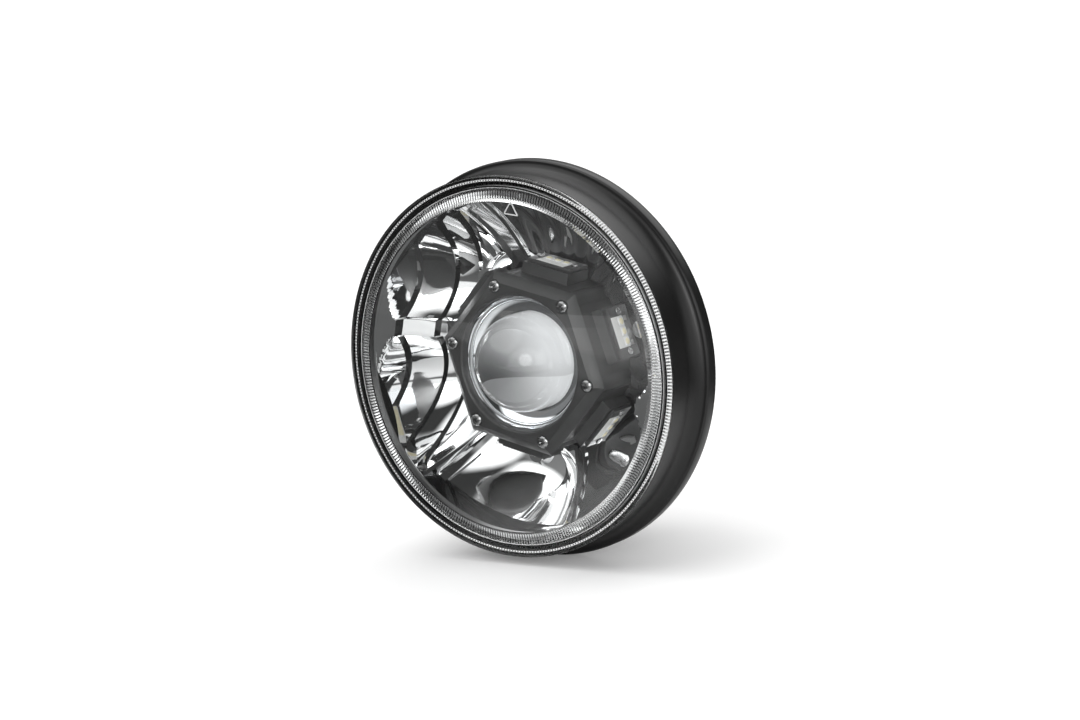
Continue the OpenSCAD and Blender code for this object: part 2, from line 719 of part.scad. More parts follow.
module sink_screws()
    color("silver") ring_of(sides, sink_screw_r, gap_angle(0))
        rear_screw(m4, plate_y, plate_t + gasket_t + rear_rim_t - 1);

module driver_board()
    color("darkgreen") difference() {
        disc(driver_r, driver_y, driver_back_y);
        ring_of(3, standoff_r, 90) rod(m3[2], driver_y - 1, driver_back_y + 1);
    }

// A place on the rear face of the driver board
module on_driver(place)
    translate([place[0] * standoff_r, driver_back_y, place[1] * standoff_r]) children();

module driver_inductor()
    color("#7a3b1d") on_driver(coil_place) along(coil_r)
        rotate_extrude($fn = 48) translate([coil_d / 2, 0]) circle(r = coil_r, $fn = small);

module driver_capacitors()
    color("#26282c") for (place = can_places) on_driver(place) rod(can_d / 2, 0, can_l);

module driver_chips()
    color("#18191b") for (place = chip_places) on_driver(place) cube(chip_size);

module driver_screws()
    color("silver") ring_of(3, standoff_r, 90) rear_screw(m3, driver_back_y, board_t + standoff_thread - 1);

module rear_cover() {
    groove_y0 = drum_y - spigot_l / 2 - ring_t / 2;
    color("#2a2b2e") difference() {
        turned([[0, drum_y], [spigot_r - spigot_wall, drum_y], [spigot_r - spigot_wall, drum_y - spigot_l],
            [spigot_r, drum_y - spigot_l], [spigot_r, groove_y0], [spigot_r - ring_sink, groove_y0],
            [spigot_r - ring_sink, groove_y0 + ring_t], [spigot_r, groove_y0 + ring_t], [spigot_r, drum_y],
            [drum_r, drum_y], [drum_r, cover_y - 1], [drum_r - 1, cover_y], [0, cover_y]]);
        ring_of(4, cover_screw_r, 45) rod(m3[2], drum_y - 1, cover_y + 1);
        translate([-inlet_hole / 2, drum_y - 1, -inlet_hole / 2])
            cube([inlet_hole, cover_t + 2, inlet_hole]);
        ring_of(2, inlet_screw_r, 45) rod(m2[2], drum_y - 1, cover_y + 1);
        at(90, vent_r) rod(vent_stem_d / 2, drum_y - 1, cover_y + 1);
    }
}

module cover_ring() {
    middle_r = (spigot_r - ring_sink + drum_r0) / 2;
    color("black") along(drum_y - spigot_l / 2) rotate_extrude($fn = fine)
        translate([middle_r, 0]) circle(r = (drum_r0 - spigot_r + ring_sink) / 2 - 0.02, $fn = small);
}

module cover_screws()
    color("silver") ring_of(4, cover_screw_r, 45) rear_screw(m3, cover_y, cover_t + cover_thread - 1);

module vent_plug()
    color("#303234") at(90, vent_r) {
        rod(vent_stem_d / 2 - screw_fit, drum_y, cover_y);
        rod(vent_d / 2, cover_y, cover_y + vent_h);
    }

// A square with round corners, centred on the axis
module rounded(width, corner) {
    square([width, width - 2 * corner], center = true);
    square([width - 2 * corner, width], center = true);
    for (x = [-1, 1]) for (y = [-1, 1])
        translate([x, y] * (width / 2 - corner)) circle(r = corner, $fn = small);
}

module inlet_gasket()
    color("black") difference() {
        along(cover_y) linear_extrude(gasket_t) difference() {
            rounded(inlet_w, inlet_corner);
            square(inlet_hole, center = true);
        }
        ring_of(2, inlet_screw_r, 45) rod(m2[2], cover_y - 1, inlet_y + 1);
    }

module inlet_body()
    color("#1b1b1d") difference() {
        union() {
            along(inlet_y) linear_extrude(inlet_base_t) rounded(inlet_w, inlet_corner);
            along(inlet_y) linear_extrude(inlet_h) rounded(inlet_hole + 2, 2);
        }
        blade_slots();
        ring_of(2, inlet_screw_r, 45) rod(m2[2], inlet_y - 1, inlet_y + inlet_h);
    }

module inlet_screws()
    color("silver") ring_of(2, inlet_screw_r, 45)
        rear_screw(m2, inlet_y + inlet_base_t, inlet_base_t + gasket_t + cover_t - 1);

// The places of the three blades: one across at the top, one upright at each side
module at_blades() for (a = [0, 90, 180]) at(a, blade_pitch) children();
module blade_slots()
    at_blades() wall_box(-blade_t / 2, blade_t / 2, blade_w / 2, inlet_y - 1, inlet_y + inlet_h + 1);

module inlet_blades() {
    tip = inlet_y + inlet_h + blade_l;
    half = blade_w / 2;
    color("gold") at_blades() rotate([0, 90, 0]) difference() {
        translate([0, 0, -blade_t / 2]) linear_extrude(blade_t)
            polygon([[-half, inlet_y - blade_root], [half, inlet_y - blade_root], [half, tip - 2],
                [half - 1.5, tip], [1.5 - half, tip], [-half, tip - 2]]);
        translate([0, tip - blade_hole, -blade_t]) cylinder(r = 1.1, h = 2 * blade_t, $fn = small);
    }
}

front_lens();
lens_seal();
housing();
reflector();
reflector_screws();
pod();
pod_screws();
bezel();
bezel_screws();
projector_sleeve();
ball_lens();
lens_retainer();
cutoff_shield();
projector_bowl();
projector_board();
projector_led();
projector_screws();
thermal_pad();
side_board(0);  // side_board_1
side_board(1);  // side_board_2
side_board(2);  // side_board_3
side_board(3);  // side_board_4
side_board(4);  // side_board_5
side_board(5);  // side_board_6
side_leds(0);  // side_leds_1
side_leds(1);  // side_leds_2
side_leds(2);  // side_leds_3
side_leds(3);  // side_leds_4
side_leds(4);  // side_leds_5
side_leds(5);  // side_leds_6
side_board_screws();
sink_gasket();
heat_sink();
sink_screws();
driver_board();
driver_inductor();
driver_capacitors();
driver_chips();
driver_screws();
rear_cover();
cover_ring();
cover_screws();
vent_plug();
inlet_body();
inlet_gasket();
inlet_screws();
inlet_blades();
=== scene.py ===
# A sealed round motorcycle headlight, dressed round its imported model.
# The lamp looks along -Y with +Z up. Lengths are in millimetres until a mesh is made.
import json
import math

import bmesh
import bpy
from mathutils import Matrix, Vector


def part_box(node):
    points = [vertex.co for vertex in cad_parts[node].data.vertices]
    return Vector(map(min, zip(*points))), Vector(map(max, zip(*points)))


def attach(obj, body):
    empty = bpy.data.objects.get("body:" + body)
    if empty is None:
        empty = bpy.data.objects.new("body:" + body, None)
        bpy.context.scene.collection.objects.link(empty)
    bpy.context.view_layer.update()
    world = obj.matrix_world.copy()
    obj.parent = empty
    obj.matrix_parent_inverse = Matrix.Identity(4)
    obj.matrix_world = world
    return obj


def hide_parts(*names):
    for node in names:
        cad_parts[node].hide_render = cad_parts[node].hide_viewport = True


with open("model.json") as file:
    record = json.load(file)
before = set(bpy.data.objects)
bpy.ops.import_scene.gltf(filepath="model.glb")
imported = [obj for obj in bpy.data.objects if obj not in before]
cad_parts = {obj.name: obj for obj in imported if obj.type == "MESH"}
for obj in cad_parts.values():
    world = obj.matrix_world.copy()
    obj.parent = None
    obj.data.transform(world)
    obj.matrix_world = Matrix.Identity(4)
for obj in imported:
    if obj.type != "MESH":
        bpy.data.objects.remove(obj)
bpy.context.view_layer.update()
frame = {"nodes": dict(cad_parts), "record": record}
MM = 0.001
TAU = 2 * math.pi


def corners(node):
    """Lowest and highest corner of a node in millimetres."""
    low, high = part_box(node)
    return low / MM, high / MM


# Stations along the axis and radii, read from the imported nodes
LENS_LOW, LENS_HIGH = corners("front_lens")
HOUSING_LOW, HOUSING_HIGH = corners("housing")
SEAL_LOW, SEAL_HIGH = corners("lens_seal")
REFLECTOR_LOW, REFLECTOR_HIGH = corners("reflector")
BEZEL_LOW, _ = corners("bezel")
LEDS_LOW, LEDS_HIGH = corners("side_leds_1")
SINK_LOW, SINK_HIGH = corners("heat_sink")
_, COVER_HIGH = corners("rear_cover")
BALL_LOW, _ = corners("ball_lens")
SLEEVE_LOW, SLEEVE_HIGH = corners("projector_sleeve")
BOARD_LOW, BOARD_HIGH = corners("driver_board")

# Front lens: a dome, a flat rim, a tongue in the groove, flutes, and beads on its coated edge
LENS_R = LENS_HIGH.x
LENS_WALL = 2.8
LENS_BACK = SEAL_LOW.y
RIM = LENS_BACK - LENS_WALL
APEX = LENS_LOW.y
DOME_R = LENS_R - 5.7
DOME_SPHERE = (DOME_R**2 + (RIM - APEX) ** 2) / (2 * (RIM - APEX))
TONGUE_R0, TONGUE_R1 = 80.0, 81.4
TONGUE_END = LENS_HIGH.y
FLUTES, BEADS = 360, 360
FLUTE_R0, FLUTE_R1 = 74.0, 79.2
FLUTE_H, BEAD_H = 0.5, 0.1
BEAD_R, COAT_R = 82.4, LENS_R - 1.2
RIM_FLAT, EDGE_ROUND = 3.0, 1.2
DOME_STEPS, INNER_STEPS = 14, 12

# The moulded triangle that points up: its place, and the size of its three bars
MARK_R, MARK_TURN = 70.0, 7.5
MARK_SIDE, MARK_BAR, MARK_BASE = 7.0, 0.5, 2.0

# Housing
FLANGE_R = HOUSING_HIGH.x
FLANGE_T = 6.6
BARREL_R = LENS_R - 1
GROOVE_R0, GROOVE_R1 = 79.2, SEAL_HIGH.x
INNER_R = 77.6
LEDGE_R = 75.8
BOWL_L = 18.0
BOWL_R, BOWL_REAR_R, OPENING_R = 78.5, 76.0, 63.6
CAST_WALL, REAR_WALL = 4.0, 7.0
FLARE_L = 8.0
LUGS, LUG_R0, LUG_R1, LUG_W, LUG_H = 3, 79, 87, 10, 3

# Projector
FIT = 0.3
BALL_R, BALL_EDGE_R, BALL_EDGE_T = 22.0, 24.4, 2.6
SLEEVE_WALL, SLEEVE_LIP_R = 1.1, 20.5
CONE_L, CONE_W = 6.1, 7.0

# How far the clamp ring, the sleeve's step and its cone lie in front of the ball's back
RING_FORE, STEP_FORE, CONE_FORE = 4.2, 4.3, 10.6

# The cut-off line painted as shade on the ball's ground back, and the height over which the
# painted shade fades
CUTOFF_Z, CUTOFF_SHADE = -5.0, 6.0

# The pod, its six walls and its side boards
SIDES = 6
SECTOR = 360 / SIDES
HALF = SECTOR / 2
POD_TURN = -13.4
POD_FLAT = 37.3
BEZEL_SCREW_R = POD_FLAT - 1.5
LED_Y = (LEDS_LOW.y + LEDS_HIGH.y) / 2
BLOCK_TOP = POD_FLAT + 5.2
BOARD_T = 1.6
LED_D = BLOCK_TOP + BOARD_T

# Reflector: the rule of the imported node, drawn finer
LIP_Y, LIP_R = REFLECTOR_LOW.y, REFLECTOR_HIGH.x
FACET_R = LIP_R - 3.3
LIP_T = 2.2
HOLE_FLAT = POD_FLAT + 0.6
HOLE_CORNER = HOLE_FLAT / math.cos(math.radians(HALF))
STEPS = [HOLE_CORNER + reach for reach in (1.2, 9.3, 19.6)]
STEP_DRAFT, RIM_STRIP = 0.7, 0.4
FOCALS = (11.5, 9.9, 8.6, 7.8)
FOCAL_BOWL, FOCAL_SIDE = 10.6, 22.0
REFLECTOR_WALL, STEP_WALL = 2.6, 1.5
RIB_W, RIB_RISE, RIB_DRAFT, RISE_RUN = 9.0, 2.4, 0.6, 8.0
PLEAT, PLEATS = 0.5, 6
PLEAT_GROUP, BOWL_GROUP = 1, 4
STRIP_ROWS = (14, 8, 8, 10)
GROUP_COLUMNS = 48
BOSS_R, BOSS_HOLE_R, BOSS_RING_R, BOSS_TURN = 3.8, 1.5, 48.1, 15
BOSS_Y, BOSS_FLOOR_Y = 8.5, 10.0

# Heat sink, drum and cover
SINK_Y, PLATE_Y = SINK_LOW.y, SINK_LOW.y + 4
SINK_R, SINK_SCREW_R = SINK_HIGH.x, OPENING_R + 5.4
DRUM_Y, DRUM_R, DRUM_R0 = SINK_HIGH.y, COVER_HIGH.x, 36.5
COVER_Y = COVER_HIGH.y
FINS, FIN_T, FIN_L = 36, 2.2, 35.0
POSTS, POST_R, POST_HOLE_R, POST_HOLE_L, POST_RING_R = 3, 3.2, 1.5, 7.0, 29.0
SINK_IN = 0.5

# The side boards: half their sizes, their LEDs and their screws
BOARD_HALF_L, BOARD_HALF_W = 11.3, 7.2
CARRIER_FORE, CARRIER_AFT, CARRIER_HALF = 6.8, 1.9, 7.0
PADS_FORE, PADS_AFT, PADS_Z, PADS_HALF = 2.4, 4.4, 5.6, 1.1
LED_PITCH, PACKAGE_HALF, PACKAGE_T = 4.5, 1.8, 0.5
LED_DOME_R, LED_DOME_H = 1.5, 0.5
BOARD_SCREW_Z = 9.0

# Studio: the floor's half size in metres, its colour, its dark parts in mirrors, and its glow
FLOOR_SIZE = 20.0
PAPER, DARK_PAPER, PAPER_GLOW = 0.86, 0.05, 0.14
ROOM = 0.04

# Screws: head radius, head height, shank radius
M4 = (3.6, 2.6, 1.9)
M3 = (2.7, 1.8, 1.4)
M2 = (1.7, 1.1, 0.8)


def wall_angle(k):
    """Angle of the middle of pod wall k, in degrees."""
    return POD_TURN + HALF + k * SECTOR


# Camera, fitted to the photograph
PICTURE_W, PICTURE_H = 1080, 720
AIM_X, AIM_Y = 504, 368.5
FOCAL_PIXELS = 2748
DISTANCE = 1.2
AZIMUTH, ELEVATION, ROLL = 35.1, 9.3, -3.82


class Value:
    """A shader socket on which Python's operators work."""

    def __init__(self, tree, socket):
        self.tree = tree
        self.socket = socket

    def maths(self, operation, *values):
        node = self.tree.nodes.new("ShaderNodeMath")
        node.operation = operation
        for place, value in zip(node.inputs, values):
            plug(self.tree, place, value)
        return Value(self.tree, node.outputs[0])

    def __add__(self, other):
        return self.maths("ADD", self, other)

    def __sub__(self, other):
        return self.maths("SUBTRACT", self, other)

    def __rsub__(self, other):
        return self.maths("SUBTRACT", other, self)

    def __mul__(self, other):
        return self.maths("MULTIPLY", self, other)

    def __truediv__(self, other):
        return self.maths("DIVIDE", self, other)

    def __pow__(self, other):
        return self.maths("POWER", self, other)

    def __gt__(self, other):
        return self.maths("GREATER_THAN", self, other)

    def floor(self):
        return self.maths("FLOOR", self)

    def cos(self):
        return self.maths("COSINE", self)

    def sin(self):
        return self.maths("SINE", self)

    __radd__ = __add__
    __rmul__ = __mul__


def plug(tree, place, value):
    """Sets a socket to a number, a colour or another socket."""
    if isinstance(value, Value):
        tree.links.new(value.socket, place)
    else:
        place.default_value = value


class Nodes:
    """A node tree with one method that adds any node."""

    def __init__(self, tree):
        self.tree = tree
        tree.nodes.clear()

    def add(self, kind, settings=None, inputs=None, output=0):
        node = self.tree.nodes.new(kind)
        for name, value in (settings or {}).items():
            setattr(node, name, value)
        for name, value in (inputs or {}).items():
            plug(self.tree, node.inputs[name], value)
        return Value(self.tree, node.outputs[output])

    def axes(self, vector):
        """The three numbers of a vector."""
        split = self.add("ShaderNodeSeparateXYZ", inputs={0: vector}).socket.node
        return [Value(self.tree, socket) for socket in split.outputs]

    def between(self, value, low, high, new_low=0.0, new_high=1.0):
        """A number moved from one range to another, with a smooth run between."""
        return self.add("ShaderNodeMapRange", {"interpolation_type": "SMOOTHSTEP"}, {
            "Value": value, "From Min": low, "From Max": high,
            "To Min": new_low, "To Max": new_high})


class Finish(Nodes):
    """A material or the world."""

    def __init__(self, owner):
        owner.use_nodes = True
        super().__init__(owner.node_tree)
        self.owner = owner

    def where(self):
        """The place on the piece, in millimetres."""
        at = self.add("ShaderNodeTexCoord", output="Object")
        return self.add("ShaderNodeVectorMath", {"operation": "SCALE"},
                        {0: at, "Scale": 1 / MM})

    def marked(self, name):
        """A number that the piece's own points carry."""
        return self.add("ShaderNodeAttribute", {"attribute_name": name}, output="Fac")

    def noise(self, scale, detail=2.0, rough=0.5, vector=None):
        return self.add("ShaderNodeTexNoise", None, {
            "Vector": vector or self.where(), "Scale": scale, "Detail": detail,
            "Roughness": rough})

    def stretched(self, *scale):
        """The place on the piece with each axis scaled, for brushed and rolled grain."""
        return self.add("ShaderNodeMapping", None, {"Vector": self.where(), "Scale": scale})

    def colours(self, share, low, high):
        """A colour between two, by a share from 0 to 1."""
        return self.add("ShaderNodeMix", {"data_type": "RGBA"}, {0: share, 6: low, 7: high}, 2)

    def bump(self, height, distance, strength=1.0):
        """A normal from a height, where distance is the height's size in millimetres."""
        return self.add("ShaderNodeBump", None, {
            "Height": height, "Distance": distance * MM, "Strength": strength})

    def surface(self, inputs):
        """A Principled surface with these values, joined to the output."""
        return self.end(self.add("ShaderNodeBsdfPrincipled", None, inputs))

    def end(self, shader, kind="ShaderNodeOutputMaterial"):
        node = self.tree.nodes.new(kind)
        self.tree.links.new(shader.socket, node.inputs["Surface"])
        return self.owner


class Form(Nodes):
    """A Geometry Nodes tree with named inputs, which turns a piece into a plain mesh."""

    def __init__(self, name, sizes):
        super().__init__(bpy.data.node_groups.new(name, "GeometryNodeTree"))
        self.names = {}
        sockets = self.tree.interface
        for label, kind in [("Geometry", "Geometry"), *sizes]:
            made = sockets.new_socket(label, in_out="INPUT", socket_type="NodeSocket" + kind)
            self.names[label] = made.identifier
        sockets.new_socket("Geometry", in_out="OUTPUT", socket_type="NodeSocketGeometry")
        self.entry = self.tree.nodes.new("NodeGroupInput")

    def given(self, label):
        return Value(self.tree, self.entry.outputs[label])

    def finish(self, geometry):
        """Makes instances real, sets the material and closes the tree."""
        real = self.add("GeometryNodeRealizeInstances", None, {"Geometry": geometry})
        dressed = self.add("GeometryNodeSetMaterial", None, {
            "Geometry": real, "Material": self.given("Material")})
        self.tree.links.new(dressed.socket, self.tree.nodes.new("NodeGroupOutput").inputs[0])

    def shape(self, piece, values):
        change = piece.modifiers.new("form", "NODES")
        change.node_group = self.tree
        for label, value in values.items():
            change[self.names[label]] = value
        return plain_mesh(piece)


def grey(value, alpha=1.0):
    return (value, value, value, alpha)


FINISHES = {}


def finish(name):
    """Registers a function that builds one material, under the name of its slot."""
    def keep(build):
        made = Finish(bpy.data.materials.new(name))
        build(made)
        FINISHES[name] = made.owner
        return build
    return keep


@finish("black_paint")
def black_paint(m):
    """Satin powder coat: a soft orange peel with a finer grain on it."""
    peel = m.noise(0.9, 3.0)
    grain = m.noise(7.0, 2.0)
    m.surface({
        "Base Color": m.colours(m.noise(0.05, 2.0), grey(0.004), grey(0.007)),
        "Roughness": m.between(grain, 0.3, 0.7, 0.3, 0.38),
        "Specular IOR Level": 0.35,
        "Normal": m.bump(peel * 0.7 + grain * 0.3, 0.015),
    })


@finish("chrome")
def chrome(m):
    """Bright metal coat on plastic, with the faint waves of its moulding."""
    haze = m.noise(0.06, 3.0)
    m.surface({
        "Base Color": m.colours(haze, (0.85, 0.855, 0.86, 1), (0.9, 0.9, 0.9, 1)),
        "Metallic": 1.0,
        "Roughness": m.between(haze, 0.35, 0.65, 0.02, 0.045),
        "Normal": m.bump(m.noise(0.12, 1.0), 0.02),
    })


@finish("pod_grey")
def pod_grey(m):
    """Dark grey casting with a fine satin grain and a few paler patches."""
    grain = m.noise(3.5, 3.0, 0.6)
    m.surface({
        "Base Color": m.colours(m.noise(0.1, 2.0), grey(0.034), grey(0.042)),
        "Metallic": 0.2,
        "Roughness": m.between(grain, 0.3, 0.7, 0.42, 0.5),
        "Normal": m.bump(m.noise(0.8, 2.0), 0.006),
    })


@finish("board_white")
def board_white(m):
    """White solder mask, and bare dark metal where a board's points are marked dark."""
    weave = m.noise(2.0, 3.0)
    white = m.colours(weave, (0.74, 0.74, 0.72, 1), (0.83, 0.83, 0.82, 1))
    m.surface({
        "Base Color": m.colours(m.marked("dark"), white, grey(0.05)),
        "Roughness": m.between(weave, 0.3, 0.7, 0.3, 0.4),
        "Normal": m.bump(weave, 0.01),
    })


@finish("board_green")
def board_green(m):
    """Green solder mask over darker copper tracks."""
    weave = m.noise(1.5, 3.0)
    tracks = m.noise(0.25, 0.0) > 0.52
    m.surface({
        "Base Color": m.colours(tracks, (0.012, 0.07, 0.03, 1), (0.02, 0.12, 0.05, 1)),
        "Roughness": m.between(weave, 0.3, 0.7, 0.25, 0.35),
        "Normal": m.bump(tracks, 0.03),
    })


@finish("led_yellow")
def led_yellow(m):
    """Phosphor under clear resin, in a white package where the points are marked."""
    grain = m.noise(6.0, 2.0)
    phosphor = m.colours(grain, (0.8, 0.74, 0.5, 1), (0.86, 0.8, 0.58, 1))
    m.surface({
        "Base Color": m.colours(m.marked("package"), phosphor, grey(0.8)),
        "Roughness": m.between(grain, 0.3, 0.7, 0.3, 0.45),
        "Normal": m.bump(grain, 0.02),
    })


def grained(scale, stretch, low, high, gloss, relief, metallic=0.0):
    """A finish with one grain that varies its colour, its gloss and its relief."""
    def build(m):
        grain = m.noise(scale, 3.0, 0.55, m.stretched(*stretch))
        m.surface({
            "Base Color": m.colours(grain, low, high),
            "Metallic": metallic,
            "Roughness": m.between(grain, 0.3, 0.7, *gloss),
            "Normal": m.bump(grain, relief),
        })
    return build


EVEN = (1, 1, 1)
ROLLED = (4, 0.4, 4)
BRIGHT = 1.0
for slot, values in {
    "sink_paint": (
        1.6, EVEN, grey(0.014), grey(0.026), (0.42, 0.56), 0.06),
    "black_plastic": (
        5.0, EVEN, grey(0.014), grey(0.022), (0.42, 0.54), 0.02),
    "black_rubber": (
        3.0, EVEN, grey(0.010), grey(0.018), (0.6, 0.75), 0.03),
    "pad_grey": (
        2.0, EVEN, (0.36, 0.37, 0.39, 1), (0.46, 0.47, 0.49, 1), (0.7, 0.85), 0.05),
    "can_black": (
        2.0, EVEN, (0.02, 0.022, 0.03, 1), (0.03, 0.033, 0.045, 1), (0.3, 0.42), 0.02),
    "screw_steel": (
        1.2, EVEN, (0.28, 0.28, 0.28, 1), (0.42, 0.42, 0.42, 1), (0.16, 0.28), 0.01, BRIGHT),
    "copper_coil": (
        1.5, ROLLED, (0.46, 0.17, 0.06, 1), (0.6, 0.25, 0.1, 1), (0.25, 0.38), 0.03, BRIGHT),
    "blade_tin": (
        2.0, ROLLED, (0.38, 0.35, 0.28, 1), (0.5, 0.47, 0.4, 1), (0.24, 0.36), 0.01, BRIGHT),
}.items():
    finish(slot)(grained(*values))


def clear(m, tint, gloss, ior, frost, white=grey(0.92)):
    """Clear plastic or glass, with a white or dark coat on the points that are marked for it.

    Light that leaves what lies behind a clear face goes straight through it, as in the open.
    """
    glass = m.add("ShaderNodeBsdfPrincipled", None, {
        "Base Color": tint,
        "Roughness": m.between(m.noise(0.05, 2.0), 0.3, 0.7, *gloss),
        "IOR": ior,
        "Transmission Weight": 1.0,
    })
    # The coat's colour comes from the caller; on the ball it holds painted light and painted shade
    coat = m.add("ShaderNodeBsdfPrincipled", None, {
        "Base Color": m.colours(m.marked("dark"), white, grey(0.01)), "Roughness": 0.35})
    solid = m.add("ShaderNodeMixShader", None, {0: frost, 1: glass, 2: coat})
    path = m.add("ShaderNodeLightPath").socket.node.outputs
    shadow, mirrored = (Value(m.tree, path[f"Is {kind} Ray"]) for kind in ("Shadow", "Reflection"))
    straight = m.add("ShaderNodeBsdfTransparent", None, {"Color": tint})
    m.end(m.add("ShaderNodeMixShader", None, {
        0: (shadow + mirrored) * (1 - frost), 1: solid, 2: straight}))


@finish("clear_lens")
def clear_lens(m):
    clear(m, (0.985, 0.99, 0.99, 1), (0.0, 0.01), 1.5, m.marked("frost"))


@finish("projector_glass")
def projector_glass(m):
    """The ball's rear face is ground, made paler towards one side by painted light, with a painted
    shade over its cut-off.
    """
    x, _, z = m.axes(m.where())
    # Painted light: the ground face is paler towards +x and +z, in place of lamp light that the
    # ball focuses there
    painted_focus_light = m.between(x * 0.95 + z * 0.3, -16.0, 2.0, 0.25, 0.98)
    # Painted shade: a dark band just above the cut-off height, fading upwards
    painted_cutoff_shade = m.between(z, CUTOFF_Z, CUTOFF_Z + CUTOFF_SHADE, 0.2, 0.0) * (z > CUTOFF_Z)
    clear(m, (0.98, 0.99, 1.0, 1), (0.0, 0.02), 1.52, m.marked("frost") * 0.93, painted_focus_light - painted_cutoff_shade)


def mesh_of(name, points, faces=()):
    """A new piece from points in millimetres."""
    mesh = bpy.data.meshes.new(name)
    mesh.from_pydata([Vector(p) * MM for p in points], [], faces)
    piece = bpy.data.objects.new(name, mesh)
    bpy.context.scene.collection.objects.link(piece)
    return piece


def smooth(piece, angle=30):
    """Smooth shading with edges sharper than the angle left sharp."""
    piece.data.shade_smooth()
    piece.data.set_sharp_from_angle(angle=math.radians(angle))
    return piece


def outward(piece, merge=0.002):
    """Merges doubles and points the faces out."""
    work = bmesh.new()
    work.from_mesh(piece.data)
    bmesh.ops.remove_doubles(work, verts=work.verts, dist=merge * MM)
    bmesh.ops.recalc_face_normals(work, faces=work.faces)
    work.to_mesh(piece.data)
    work.free()
    return piece


def plain_mesh(piece):
    """Turns a piece with modifiers into one with a plain mesh."""
    graph = bpy.context.evaluated_depsgraph_get()
    mesh = bpy.data.meshes.new_from_object(piece.evaluated_get(graph))
    old = piece.data
    piece.modifiers.clear()
    piece.data = mesh
    bpy.data.meshes.remove(old)
    return piece


def mark(piece, name, value, chosen=lambda point: True):
    """Writes a number on the points that are chosen by their place in millimetres."""
    numbers = piece.data.attributes.get(name) or piece.data.attributes.new(name, "FLOAT", "POINT")
    for vertex, number in zip(piece.data.vertices, numbers.data):
        if chosen(vertex.co / MM):
            number.value = value
    return piece


def moved(piece, *matrices):
    """Moves the points of a piece by each matrix in turn."""
    for matrix in matrices:
        piece.data.transform(matrix)
    return piece


def shift(x, y, z):
    return Matrix.Translation(Vector((x, y, z)) * MM)


def turn_about(axis, degrees):
    return Matrix.Rotation(math.radians(degrees), 4, axis)


def bevelled(piece, width, segments=2, angle=35):
    """Rounds off the edges that are sharper than the angle."""
    bevel = piece.modifiers.new("bevel", "BEVEL")
    bevel.width = width * MM
    bevel.segments = segments
    bevel.limit_method = "ANGLE"
    bevel.angle_limit = math.radians(angle)
    return plain_mesh(piece)


def joined(name, pieces):
    """One piece from several, with their meshes merged into one."""
    work = bmesh.new()
    for piece in pieces:
        work.from_mesh(piece.data)
        bpy.data.objects.remove(piece)
    whole = mesh_of(name, [])
    work.to_mesh(whole.data)
    work.free()
    return whole


def arc(centre, radius, start, end, steps):
    """Points on an arc, as (radius, station), with angles in degrees."""
    turns = [math.radians(start + (end - start) * i / steps) for i in range(steps + 1)]
    return [(centre[0] + radius * math.cos(t), centre[1] + radius * math.sin(t)) for t in turns]


def eased(outline, width):
    """An outline whose corners off the axis are cut back by a small width."""
    out = []
    for i, corner in enumerate(outline):
        here = Vector(corner)
        before = Vector(outline[i - 1]) - here
        after = Vector(outline[(i + 1) % len(outline)]) - here
        cut = min(width, before.length / 3, after.length / 3)
        if here.x < cut or abs(before.normalized().dot(after.normalized())) > 0.98:
            out.append(tuple(here))
        else:
            out += [tuple(here + way.normalized() * cut) for way in (before, after)]
    return out


def turning():
    """A tree that turns an outline about the lamp's axis. Each of its points may carry waves."""
    form = Form("turned", [("Rows", "Int"), ("Columns", "Int"), ("Material", "Material")])
    columns = form.given("Columns") + 1
    index = form.add("GeometryNodeInputIndex")
    row = (index / columns).floor()
    turn = (index - row * columns) * TAU / form.given("Columns")

    def outline(kind, value):
        return form.add("GeometryNodeSampleIndex", {"data_type": kind, "domain": "POINT"}, {
            "Geometry": form.given("Geometry"), "Value": value, "Index": row})

    def carried(name):
        number = form.add("GeometryNodeInputNamedAttribute", None, {"Name": name})
        return outline("FLOAT", number)

    r, y, _ = form.axes(outline("FLOAT_VECTOR", form.add("GeometryNodeInputPosition")))
    wave = ((turn * carried("waves")).cos() * 0.5 + 0.5) * carried("height")
    grid = form.add("GeometryNodeMeshGrid", None, {
        "Vertices X": form.given("Rows"), "Vertices Y": columns})
    place = form.add("ShaderNodeCombineXYZ", None, {
        0: r * turn.cos(), 1: y + wave, 2: r * turn.sin()})
    shell = form.add("GeometryNodeSetPosition", None, {"Geometry": grid, "Position": place})
    closed = form.add("GeometryNodeMergeByDistance", None, {
        "Geometry": shell, "Distance": 0.001 * MM})
    form.finish(closed)
    return form


def ringing():
    """A tree that sets copies of a piece round the lamp's axis, each turned to face outwards."""
    form = Form("ring", [
        ("Piece", "Object"), ("Count", "Int"), ("Radius", "Float"), ("Start", "Float"),
        ("Station", "Float"), ("Material", "Material")])
    index = form.add("GeometryNodeInputIndex")
    turn = form.given("Start") + index * TAU / form.given("Count")
    radius = form.given("Radius")
    line = form.add("GeometryNodeMeshLine", {"mode": "OFFSET"}, {
        "Count": form.given("Count"), "Offset": (0, 0, 0)})
    place = form.add("ShaderNodeCombineXYZ", None, {
        0: radius * turn.cos(), 1: form.given("Station"), 2: radius * turn.sin()})
    points = form.add("GeometryNodeSetPosition", None, {"Geometry": line, "Position": place})
    piece = form.add("GeometryNodeObjectInfo", None, {"Object": form.given("Piece")}, "Geometry")
    turned_by = form.add("ShaderNodeCombineXYZ", None, {1: turn * -1})
    form.finish(form.add("GeometryNodeInstanceOnPoints", None, {
        "Points": points, "Instance": piece, "Rotation": turned_by}))
    return form


TURNING, RINGING = turning(), ringing()


